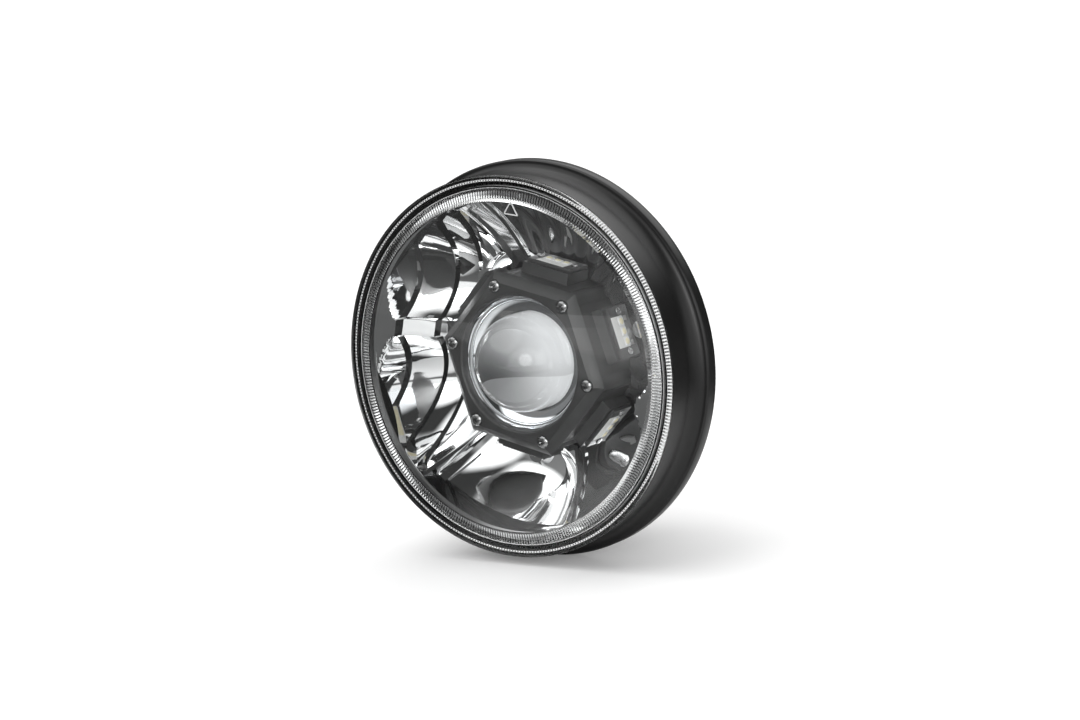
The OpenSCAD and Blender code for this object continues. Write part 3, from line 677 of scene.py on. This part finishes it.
def turned(name, outline, columns=128):
    """Turns (radius, station) points about the axis.

    A point may go on with the height and the count of the waves that it carries.
    """
    if outline[0][0] > 0 or outline[-1][0] > 0:
        outline = outline + outline[:1]
    piece = mesh_of(name, [(*point[:2], 0) for point in outline])
    for place, label in ((2, "height"), (3, "waves")):
        numbers = piece.data.attributes.new(label, "FLOAT", "POINT")
        scale = MM if label == "height" else 1
        for number, point in zip(numbers.data, outline):
            number.value = point[place] * scale if len(point) > 2 else 0
    return outward(TURNING.shape(piece, {"Rows": len(outline), "Columns": columns}))


def ring(name, piece, count, radius=0.0, start=0.0, station=0.0):
    """Copies of a piece round the axis, as one piece. The first one is used up."""
    whole = RINGING.shape(mesh_of(name, []), {
        "Piece": piece, "Count": count, "Radius": radius * MM, "Start": math.radians(start),
        "Station": station * MM})
    bpy.data.objects.remove(piece)
    return whole


def plate(name, outline, low, high, bevel=0.0, segments=2):
    """An outline of (x, y) points drawn out from z low to high, with rounded edges."""
    count = len(outline)
    faces = [tuple(range(count)), tuple(range(count, 2 * count))]
    faces += [(i, (i + 1) % count, (i + 1) % count + count, i + count) for i in range(count)]
    piece = outward(mesh_of(name, [(x, y, z) for z in (low, high) for x, y in outline], faces))
    return bevelled(piece, bevel, segments) if bevel else piece


def block(name, low, high, bevel=0.0, segments=2):
    """A box between two corners, with rounded edges."""
    outline = [(low[0], low[1]), (high[0], low[1]), (high[0], high[1]), (low[0], high[1])]
    return plate(name, outline, low[2], high[2], bevel, segments)


def softened(node, width):
    """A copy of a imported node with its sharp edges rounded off."""
    mesh = frame["nodes"][node].data.copy()
    piece = bpy.data.objects.new(node + "_soft", mesh)
    bpy.context.scene.collection.objects.link(piece)
    work = bmesh.new()
    work.from_mesh(mesh)
    bmesh.ops.remove_doubles(work, verts=work.verts, dist=0.002 * MM)
    bmesh.ops.dissolve_limit(
        work, angle_limit=math.radians(0.5), verts=work.verts, edges=work.edges)
    work.to_mesh(mesh)
    work.free()
    return smooth(bevelled(piece, width), 35)


def seat(piece, slot, *nodes):
    """Gives a piece its finish, puts it on the lamp's body and lets it stand for its nodes."""
    piece.data.materials.clear()
    piece.data.materials.append(FINISHES[slot])
    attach(piece, "root")
    if nodes:
        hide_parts(*nodes)


def off_axis(point):
    """How far a point lies from the lamp's axis."""
    return math.hypot(point.x, point.z)


def coated(point):
    """The rear of the lens outside its flutes, which is white."""
    return point.y > LENS_BACK - 0.35 and off_axis(point) > FLUTE_R1 - 0.1


def dark_rim_and_painted_bead_shade(point):
    """Dark points on the rear of the lens: its outer edge and a thin line painted black, and dots
    on the beads painted as their shade.
    """
    r = off_axis(point)
    # Painted shade: every other half wave round the beads is painted dark, standing in for the
    # beads' own shading
    dot = math.cos(BEADS * math.atan2(point.z, point.x) + TAU / 8) > 0
    edge, line = r > COAT_R - 0.05, abs(r - TONGUE_R0 + 0.25) < 0.3
    bead = abs(r - BEAD_R) < 0.25 and dot
    return (edge or line or bead) and abs(point.y - LENS_BACK + 0.15) < 0.2


def lens_mark(inner):
    """A triangle of three bars that points up, moulded on the inside of the dome."""
    half = MARK_SIDE / 2
    low, high = -MARK_BASE - MARK_BAR / 2, -MARK_BASE + MARK_BAR / 2
    bars = []
    for turn in (0, 120, 240):
        bar = block("bar", (-half, -0.35, low), (half, 0.15, high), 0.12)
        bars.append(moved(bar, turn_about("Y", turn)))
    inside = APEX + DOME_SPHERE - math.sqrt(inner**2 - MARK_R**2)
    lean = turn_about("X", math.degrees(math.asin(MARK_R / inner)))
    sign = moved(joined("sign", bars), lean, shift(0, inside + 0.1, MARK_R),
                 turn_about("Y", MARK_TURN))
    return mark(sign, "frost", 0.6)


def front_lens():
    """A domed clear shell with fine flutes behind its rim and beads on its outer edge."""
    centre = (0, APEX + DOME_SPHERE)
    span = math.degrees(math.asin(DOME_R / DOME_SPHERE))
    inner = DOME_SPHERE - LENS_WALL
    reach = math.degrees(math.asin((FLUTE_R0 - 1) / inner))
    outline = [(0, APEX)] + arc(centre, DOME_SPHERE, -90, -90 + span, DOME_STEPS)[1:]
    outline += [(LENS_R - RIM_FLAT, RIM)]
    outline += arc((LENS_R - EDGE_ROUND, RIM + EDGE_ROUND), EDGE_ROUND, -90, 0, 4)
    outline += [(LENS_R, LENS_BACK - 0.4), (LENS_R - 0.2, LENS_BACK), (COAT_R, LENS_BACK),
                (COAT_R - 0.1, LENS_BACK), (BEAD_R + 0.4, LENS_BACK)]
    outline += [(r, LENS_BACK, -BEAD_H, BEADS) for r in (BEAD_R + 0.2, BEAD_R - 0.2)]
    outline += [(BEAD_R - 0.4, LENS_BACK), (TONGUE_R1, LENS_BACK), (TONGUE_R1, LENS_BACK + 0.1),
                (TONGUE_R1, TONGUE_END), (TONGUE_R0, TONGUE_END), (TONGUE_R0, LENS_BACK + 0.1),
                (TONGUE_R0, LENS_BACK), (TONGUE_R0 - 0.5, LENS_BACK),
                (TONGUE_R0 - 0.6, LENS_BACK), (FLUTE_R1, LENS_BACK)]
    outline += [(r, LENS_BACK, FLUTE_H, FLUTES)
                for r in (FLUTE_R1 - 0.4, FLUTE_R1 - 2, FLUTE_R0 + 2, FLUTE_R0 + 0.4)]
    outline += [(FLUTE_R0, LENS_BACK)]
    outline += arc(centre, inner, -90 + reach, -90, INNER_STEPS)[:-1] + [(0, APEX + LENS_WALL)]
    piece = turned("lens_shell", outline, 4 * FLUTES)
    mark(piece, "frost", 1.0, coated)
    # Painted shade in dots on the beads, and a black outer edge and thin black line
    mark(piece, "dark", 1.0, dark_rim_and_painted_bead_shade)
    whole = smooth(joined("lens_clear", [piece, lens_mark(inner)]), 28)
    seat(whole, "clear_lens", "front_lens")
    bead = [(GROOVE_R0, LENS_BACK), (TONGUE_R0, LENS_BACK), (TONGUE_R0, TONGUE_END),
            (TONGUE_R1, TONGUE_END), (TONGUE_R1, LENS_BACK), (GROOVE_R1, LENS_BACK),
            (GROOVE_R1, SEAL_HIGH.y), (GROOVE_R0, SEAL_HIGH.y)]
    seat(smooth(turned("sealant_black", bead, 256)), "black_rubber", "lens_seal")


def focal(group, i):
    return FOCAL_BOWL if group in (PLEAT_GROUP, BOWL_GROUP) else FOCALS[i]


def facet_y(group, i, d, s):
    """Station of a facet at distance d along the middle of its group and s across it."""
    f = focal(group, i)
    across = FOCAL_SIDE if group in (PLEAT_GROUP, BOWL_GROUP) else f
    return LED_Y + f - (d - LED_D) ** 2 / (4 * f) - s * s / (4 * across)


def turn_at(share, inset, r):
    """Angle from the middle of a group at radius r, for a share of its width inside two insets."""
    return math.radians(share * (HALF - math.degrees(math.asin(inset / r))))


def step_r(group, i, share, inset):
    """Radius at which step i of a group crosses one line.

    The steps lie square to the pod's turn.
    """
    a = math.radians(wall_angle(group) - POD_TURN) + turn_at(share, inset, STEPS[i])
    return min(STEPS[i] / abs(math.cos(a)), FACET_R - (3 - i) * RIM_STRIP)


def facet_line(group, share, inset, lift):
    """One line of the reflector's face, hole to rim, as (radius, station, angle)."""
    line = []
    for i, rows in enumerate(STRIP_ROWS):
        hole = HOLE_FLAT / math.cos(turn_at(share, inset, HOLE_CORNER))
        r0 = step_r(group, i - 1, share, inset) + STEP_DRAFT if i else hole
        r1 = step_r(group, i, share, inset) if i < len(STEPS) else FACET_R
        for j in range(rows + 1):
            r = r0 + (r1 - r0) * j / rows
            shaped = turn_at(share, RIB_W / 2, r)
            d = r * math.cos(shaped)
            raised = lift * min(1, max(0, (d - HOLE_FLAT) / RISE_RUN))
            y = facet_y(group, i, d, r * math.sin(shaped)) - raised
            angle = math.radians(wall_angle(group)) + turn_at(share, inset, r)
            line.append((r, max(y, LIP_Y + 0.1), angle))
    return line


def group_sections(group):
    """Lines of one group, as (share, inset, lift): half a rib at both ends and facets between."""
    top = RIB_W / 2 - RIB_DRAFT
    rib = [(0.0, RIB_RISE), (top / 2, RIB_RISE), (top - 0.5, RIB_RISE), (top, RIB_RISE - 0.15)]
    out = [(-1, inset, lift) for inset, lift in rib]
    for i in range(GROUP_COLUMNS + 1):
        fold = PLEAT * (1 - math.cos(TAU * i * PLEATS / GROUP_COLUMNS)) / 2
        out.append((2 * i / GROUP_COLUMNS - 1, RIB_W / 2, fold if group == PLEAT_GROUP else 0))
    return out + [(1, inset, lift) for inset, lift in rib[:0:-1]]


def reflector():
    """The reflector's shell, face and back in one surface, and its three bosses."""
    points, rows = [], 0
    for group in range(SIDES):
        for share, inset, lift in group_sections(group):
            face = facet_line(group, share, inset, lift)
            end = face[-1][2]
            edge = [(FACET_R, LIP_Y), (LIP_R, LIP_Y), (LIP_R, LIP_Y + LIP_T),
                    (FACET_R + STEP_WALL, LIP_Y + LIP_T)]
            back = [(r + STEP_WALL, y + REFLECTOR_WALL, a) for r, y, a in reversed(face)]
            section = face + [(r, y, end) for r, y in edge] + back
            rows = len(section)
            points += [(r * math.cos(a), y, r * math.sin(a)) for r, y, a in section]
    columns = len(points) // rows
    faces = [
        (j * rows + i, j * rows + (i + 1) % rows,
         (j + 1) % columns * rows + (i + 1) % rows, (j + 1) % columns * rows + i)
        for j in range(columns) for i in range(rows)
    ]
    shell = outward(mesh_of("reflector_shell", points, faces), 0.0005)
    bosses = []
    for k in (0, 2, 4):
        a = math.radians(BOSS_TURN + SECTOR * k)
        boss = turned("boss", [
            (0, BOSS_Y), (BOSS_R, BOSS_Y), (BOSS_R, SINK_Y), (BOSS_HOLE_R, SINK_Y),
            (BOSS_HOLE_R, BOSS_FLOOR_Y), (0, BOSS_FLOOR_Y)], 32)
        bosses.append(moved(boss, shift(BOSS_RING_R * math.cos(a), 0, BOSS_RING_R * math.sin(a))))
    seat(smooth(joined("reflector_chrome", [shell] + bosses), 16), "chrome", "reflector")


def housing():
    """The cast housing with its edges rounded off, and its three lugs."""
    rise = FLANGE_R - BARREL_R - 1
    outline = [(GROOVE_R1, LENS_BACK), (BARREL_R, LENS_BACK)]
    outline += [(BARREL_R + rise * (1 - math.cos(math.radians(a))),
                 -FLANGE_T - FLARE_L * (1 - math.sin(math.radians(a)))) for a in range(0, 91, 5)]
    outline += eased([(FLANGE_R - 0.8, -FLANGE_T), (FLANGE_R, 0.8 - FLANGE_T),
                      (FLANGE_R, -0.3), (FLANGE_R - 0.3, 0)], 0.15)[1:-1]
    ledge, floor, seal = LIP_Y + LIP_T, BOWL_L - REAR_WALL, LENS_BACK + FLUTE_H + FIT
    outline += [
        (BOWL_R, 0), (BOWL_REAR_R, BOWL_L - 0.4), (BOWL_REAR_R - 0.4, BOWL_L),
        (OPENING_R, BOWL_L), (OPENING_R, floor), (BOWL_REAR_R - CAST_WALL, floor),
        (BOWL_R - CAST_WALL, 0), (BARREL_R - CAST_WALL, -FLANGE_T),
        (BARREL_R - CAST_WALL, ledge + 3), (LEDGE_R, ledge + 3), (LEDGE_R, ledge),
        (INNER_R, ledge), (INNER_R, seal), (GROOVE_R0, seal), (GROOVE_R0, SEAL_HIGH.y),
        (GROOVE_R1, SEAL_HIGH.y)]
    body = turned("housing_body", outline, 256)
    lug = block("lug", (LUG_R0, -0.5, -LUG_W / 2), (LUG_R1, LUG_H, LUG_W / 2), 0.5, 3)
    lugs = ring("lugs", lug, LUGS, start=90)
    seat(smooth(joined("housing_black", [body, lugs]), 24), "black_paint", "housing")


def screw(size, length, rear=False):
    """A pan-head screw along +Y with its head in front of station 0, or the other way round."""
    head, rise, shank = size
    crown = [(head * math.cos(t), -rise * (0.35 + 0.65 * math.sin(t)))
             for t in (math.radians(15 * i) for i in range(6, -1, -1))]
    outline = [(0, -rise)] + crown[1:] + [(head - 0.1, 0), (shank, 0), (shank, length - 0.3),
                                          (shank - 0.3, length), (0, length)]
    piece = turned("screw", outline, 32)
    arm, half, depth = head * 0.58, head * 0.12, rise * 0.62
    cross = [(arm, half), (half, half), (half, arm)]
    quarters = ((1, 0), (0, 1), (-1, 0), (0, -1))
    cross = [(x * c - z * s, x * s + z * c) for c, s in quarters for x, z in cross]
    levels = ((1.05, -rise - 0.2), (0.45, depth - rise))
    points = [(x * k, y, z * k) for k, y in levels for x, z in cross]
    count = len(cross)
    ends = [tuple(range(count)), tuple(range(count, 2 * count))]
    sides = [(i, (i + 1) % count, (i + 1) % count + count, i + count) for i in range(count)]
    recess = outward(mesh_of("recess", points, ends + sides))
    cut = piece.modifiers.new("recess", "BOOLEAN")
    cut.object = recess
    cut.operation = "DIFFERENCE"
    piece = plain_mesh(piece)
    bpy.data.objects.remove(recess)
    if rear:
        piece.data.transform(Matrix.Diagonal((1, -1, 1, 1)))
        outward(piece)
    return smooth(piece, 32)


def screws():
    """Every screw that shows, in rings round the axis."""
    inlet_side, inlet_in = 30, 3.6
    inlet_screw_r = inlet_side / math.sqrt(2) - inlet_in
    for node, size, length, rear, count, radius, start, station in (
        ("bezel_screws", M3, 10.0, False, 6, BEZEL_SCREW_R, POD_TURN, BEZEL_LOW.y + 1),
        ("sink_screws", M4, 11.0, True, 6, SINK_SCREW_R, 5, PLATE_Y),
        ("cover_screws", M3, 11.0, True, 4, (DRUM_R + DRUM_R0) / 2, 45, COVER_Y),
        ("pod_screws", M3, 9.5, True, 3, 31.65, POD_TURN, PLATE_Y),
        ("driver_screws", M3, 7.6, True, POSTS, POST_RING_R, 90, BOARD_HIGH.y),
        ("inlet_screws", M2, 7.0, True, 2, inlet_screw_r, 45, COVER_Y + 4),
    ):
        piece = ring(node + "_fine", screw(size, length, rear), count, radius, start, station)
        seat(piece, "screw_steel", node)
    pair = []
    for side in (-1, 1):
        one = moved(screw(M2, BOARD_T + 5.5), turn_about("Z", 90), turn_about("X", 45))
        pair.append(moved(one, shift(LED_D, LED_Y, BOARD_SCREW_Z * side)))
    piece = ring("side_board_screws_fine", joined("pair", pair), SIDES, start=wall_angle(0))
    seat(piece, "screw_steel", "side_board_screws")


def side_boards():
    """Six boards on the pod's walls: dark metal, a white middle, three LEDs and small parts."""
    low, high = LED_Y - BOARD_HALF_W, LED_Y + BOARD_HALF_W
    board = block("board", (BLOCK_TOP, low, -BOARD_HALF_L), (LED_D, high, BOARD_HALF_L), 0.25)
    mark(board, "dark", 1.0)
    carrier = block("carrier", (LED_D - 0.1, LED_Y - CARRIER_FORE, -CARRIER_HALF),
                    (LED_D + 0.12, LED_Y + CARRIER_AFT, CARRIER_HALF), 0.05)
    pieces = [board, carrier]
    for side in (-1, 1):
        z = side * PADS_Z
        pads = block("pads", (LED_D - 0.1, LED_Y + PADS_FORE, z - PADS_HALF),
                     (LED_D + PACKAGE_T, LED_Y + PADS_AFT, z + PADS_HALF), 0.15)
        pieces.append(mark(pads, "dark", 0.7))
    boards = ring("side_boards_white", joined("boards", pieces), SIDES, start=wall_angle(0))
    seat(smooth(boards, 35), "board_white", *[f"side_board_{k}" for k in range(1, 7)])
    lights = []
    crown = [(LED_DOME_R * math.cos(t), -0.4 - LED_DOME_H * math.sin(t))
             for t in (math.radians(a) for a in (75, 60, 45, 30, 15, 0))]
    for i in (-1, 0, 1):
        z = i * LED_PITCH
        package = block("package", (LED_D, LED_Y - PACKAGE_HALF, z - PACKAGE_HALF),
                        (LED_D + PACKAGE_T, LED_Y + PACKAGE_HALF, z + PACKAGE_HALF), 0.12)
        lights.append(mark(package, "package", 1.0))
        dome = turned("dome", [(0, -0.4 - LED_DOME_H)] + crown
                      + [(LED_DOME_R, -0.3), (0, -0.3)], 20)
        lights.append(moved(dome, turn_about("Z", 90), shift(LED_D, LED_Y, z)))
    leds = ring("side_leds_fine", joined("leds", lights), SIDES, start=wall_angle(0))
    seat(smooth(leds, 35), "led_yellow", *[f"side_leds_{k}" for k in range(1, 7)])


def projector():
    """The ball lens and what turns round the same axis inside the pod."""
    centre = BALL_LOW.y + BALL_R
    back = SLEEVE_HIGH.y - 2
    clamp = back - BALL_EDGE_T
    outline = [(0, BALL_LOW.y)] + arc((0, centre), BALL_R, -90, 0, 36)[1:]
    outline += [(BALL_R, clamp), (BALL_EDGE_R, clamp), (BALL_EDGE_R, back), (0, back)]
    ball = turned("ball_glass", outline, 192)
    mark(ball, "frost", 1.0, lambda p: p.y > back - 0.1)
    seat(smooth(ball, 40), "projector_glass", "ball_lens")
    r1, r0 = SLEEVE_HIGH.x, SLEEVE_HIGH.x - SLEEVE_WALL
    turns = [math.radians(a) for a in range(90, -1, -10)]
    cone = [(r0 - CONE_W + CONE_W * math.cos(t), back - CONE_FORE + CONE_L * math.sin(t))
            for t in turns]
    seat_r = BALL_EDGE_R + FIT
    sleeve = [(r1, SLEEVE_LOW.y), (r1, SLEEVE_HIGH.y), (SLEEVE_LIP_R, SLEEVE_HIGH.y),
              (SLEEVE_LIP_R, back), (seat_r, back), (seat_r, clamp), (r0, clamp),
              (r0, back - STEP_FORE)]
    seat(smooth(turned("sleeve_bright", sleeve + cone, 192)), "chrome", "projector_sleeve")
    clamp_ring = eased([(BALL_R + FIT, back - RING_FORE), (r0 - FIT, back - RING_FORE),
                        (r0 - FIT, clamp), (BALL_R + FIT, clamp)], 0.3)
    retainer = turned("retainer_black", clamp_ring, 192)
    seat(smooth(retainer), "black_plastic", "lens_retainer")


def heat_sink():
    """The plate and the drum with rounded edges, 36 fins and three standoffs."""
    outline = eased([
        (0, SINK_Y), (SINK_R, SINK_Y), (SINK_R, PLATE_Y), (DRUM_R, PLATE_Y),
        (DRUM_R, DRUM_Y), (DRUM_R0, DRUM_Y), (DRUM_R0, PLATE_Y), (0, PLATE_Y)], 0.4)
    body = turned("sink_body", outline, 192)
    foot = PLATE_Y - SINK_IN
    fin = [(DRUM_R - SINK_IN, foot), (SINK_R - 1, foot), (SINK_R - 1, PLATE_Y + 1),
           (DRUM_R + 1, PLATE_Y + FIN_L), (DRUM_R - SINK_IN, PLATE_Y + FIN_L)]
    fins = ring("fins", plate("fin", fin, -FIN_T / 2, FIN_T / 2, 0.45), FINS)
    top, hole = BOARD_LOW.y, BOARD_LOW.y - POST_HOLE_L
    post = [(0, foot), (POST_R, foot), (POST_R, top), (POST_HOLE_R, top),
            (POST_HOLE_R, hole), (0, hole)]
    posts = ring("posts", turned("post", post, 32), POSTS, POST_RING_R, 90)
    whole = smooth(joined("sink_black", [body, fins, posts]), 30)
    seat(whole, "sink_paint", "heat_sink")


def dress_nodes():
    """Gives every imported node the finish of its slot."""
    slots = {s["node"]: s["material_slot"] for s in frame["record"]["subparts"]}
    for name, piece in frame["nodes"].items():
        piece.data.materials.clear()
        piece.data.materials.append(FINISHES[slots[name]])
    return slots


def camera():
    """The camera of the photograph, aimed at the middle of the lens rim."""
    a, e, roll = (math.radians(v) for v in (AZIMUTH, ELEVATION, ROLL))
    back = Vector((math.sin(a) * math.cos(e), -math.cos(a) * math.cos(e), math.sin(e)))
    right = Vector((math.cos(a), math.sin(a), 0))
    up = back.cross(right)
    cos, sin = math.cos(roll), math.sin(roll)
    right, up = right * cos + up * sin, up * cos - right * sin
    data = bpy.data.cameras.new("camera")
    data.sensor_width = 36
    data.lens = FOCAL_PIXELS * data.sensor_width / PICTURE_W
    data.shift_x = (PICTURE_W / 2 - AIM_X) / PICTURE_W
    data.shift_y = (AIM_Y - PICTURE_H / 2) / PICTURE_W
    data.clip_end = 100
    eye = bpy.data.objects.new("camera", data)
    bpy.context.scene.collection.objects.link(eye)
    place = Matrix((right, up, back)).transposed().to_4x4()
    place.translation = Vector((0, RIM * MM, 0)) + back * DISTANCE
    eye.matrix_world = place
    bpy.context.scene.camera = eye


def studio():
    """A dim room with soft panels of light and a floor, which the camera alone sees as white."""
    world = bpy.data.worlds.new("studio")
    bpy.context.scene.world = world
    w = Finish(world)
    x, y, z = w.axes(w.add("ShaderNodeTexCoord", output="Generated"))

    def panel(direction, edge, middle, strength):
        """A patch of light round a direction, from its faint edge to its full middle."""
        towards = x * direction[0] + y * direction[1] + z * direction[2]
        return w.between(towards, edge, middle) * strength

    beside_camera = panel((0.6, -0.8, 0), 0.68, 0.82, 1.5)
    its_middle = panel((0.58, -0.78, 0.24), 0.95, 0.985, 4.5)
    right = panel((1, 0, 0), 0.78, 0.92, 1.2)
    above = panel((0, 0.5, 0.85), 0.68, 0.86, 1.8)
    high_left = panel((-0.5, -0.43, 0.75), 0.7, 0.84, 1.6) * w.between(z, 0.4, 0.55)
    low_left = panel((-0.6, -0.8, 0), 0.7, 0.85, 0.2) * w.between(z, -0.06, -0.02)
    room = ROOM + beside_camera + its_middle + right + above + high_left + low_left
    seen = w.add("ShaderNodeLightPath", output="Is Camera Ray")
    light = w.add("ShaderNodeBackground", None, {"Color": grey(1.0), "Strength": room})
    white = w.add("ShaderNodeBackground", None, {"Color": grey(1.0), "Strength": 1.0})
    w.end(w.add("ShaderNodeMixShader", None, {0: seen, 1: light, 2: white}),
          "ShaderNodeOutputWorld")

    size, low = FLOOR_SIZE, HOUSING_LOW.z * MM
    mesh = bpy.data.meshes.new("floor")
    mesh.from_pydata(
        [(-size, -size, low), (size, -size, low), (size, size, low), (-size, size, low)],
        [], [(0, 1, 2, 3)])
    floor = bpy.data.objects.new("floor", mesh)
    bpy.context.scene.collection.objects.link(floor)
    f = Finish(bpy.data.materials.new("floor"))
    fx, fy, _ = f.axes(f.add("ShaderNodeTexCoord", output="Object"))
    seen = f.add("ShaderNodeLightPath", output="Is Camera Ray")
    # Mirrors see the paper pale near the lamp and at the front right, and dark elsewhere
    near = f.between((fx - 0.12) ** 2 + fy**2, 0.02, 0.05, 1.0, 0.0)
    facing = f.between(fx * 0.8 - fy * 0.6, 0.33, 0.45)
    mirrored = f.colours(near + facing, grey(DARK_PAPER), grey(PAPER))
    paper = f.add("ShaderNodeBsdfPrincipled", None, {
        "Base Color": f.colours(seen, mirrored, grey(PAPER)), "Roughness": 0.9})
    glow = f.add("ShaderNodeEmission", None, {"Color": grey(1.0), "Strength": PAPER_GLOW})
    both = f.add("ShaderNodeAddShader", None, {0: paper, 1: glow})
    whole = f.add("ShaderNodeMixShader", None, {0: seen, 1: paper, 2: both})
    mesh.materials.append(f.end(whole))


camera()
studio()
slots = dress_nodes()
front_lens()
reflector()
housing()
projector()
side_boards()
screws()
heat_sink()
for name, width in (("pod", 0.35), ("bezel", 0.25), ("rear_cover", 0.3), ("inlet_body", 0.3)):
    seat(softened(name, width), slots[name], name)

bpy.context.scene.view_settings.view_transform = "Standard"
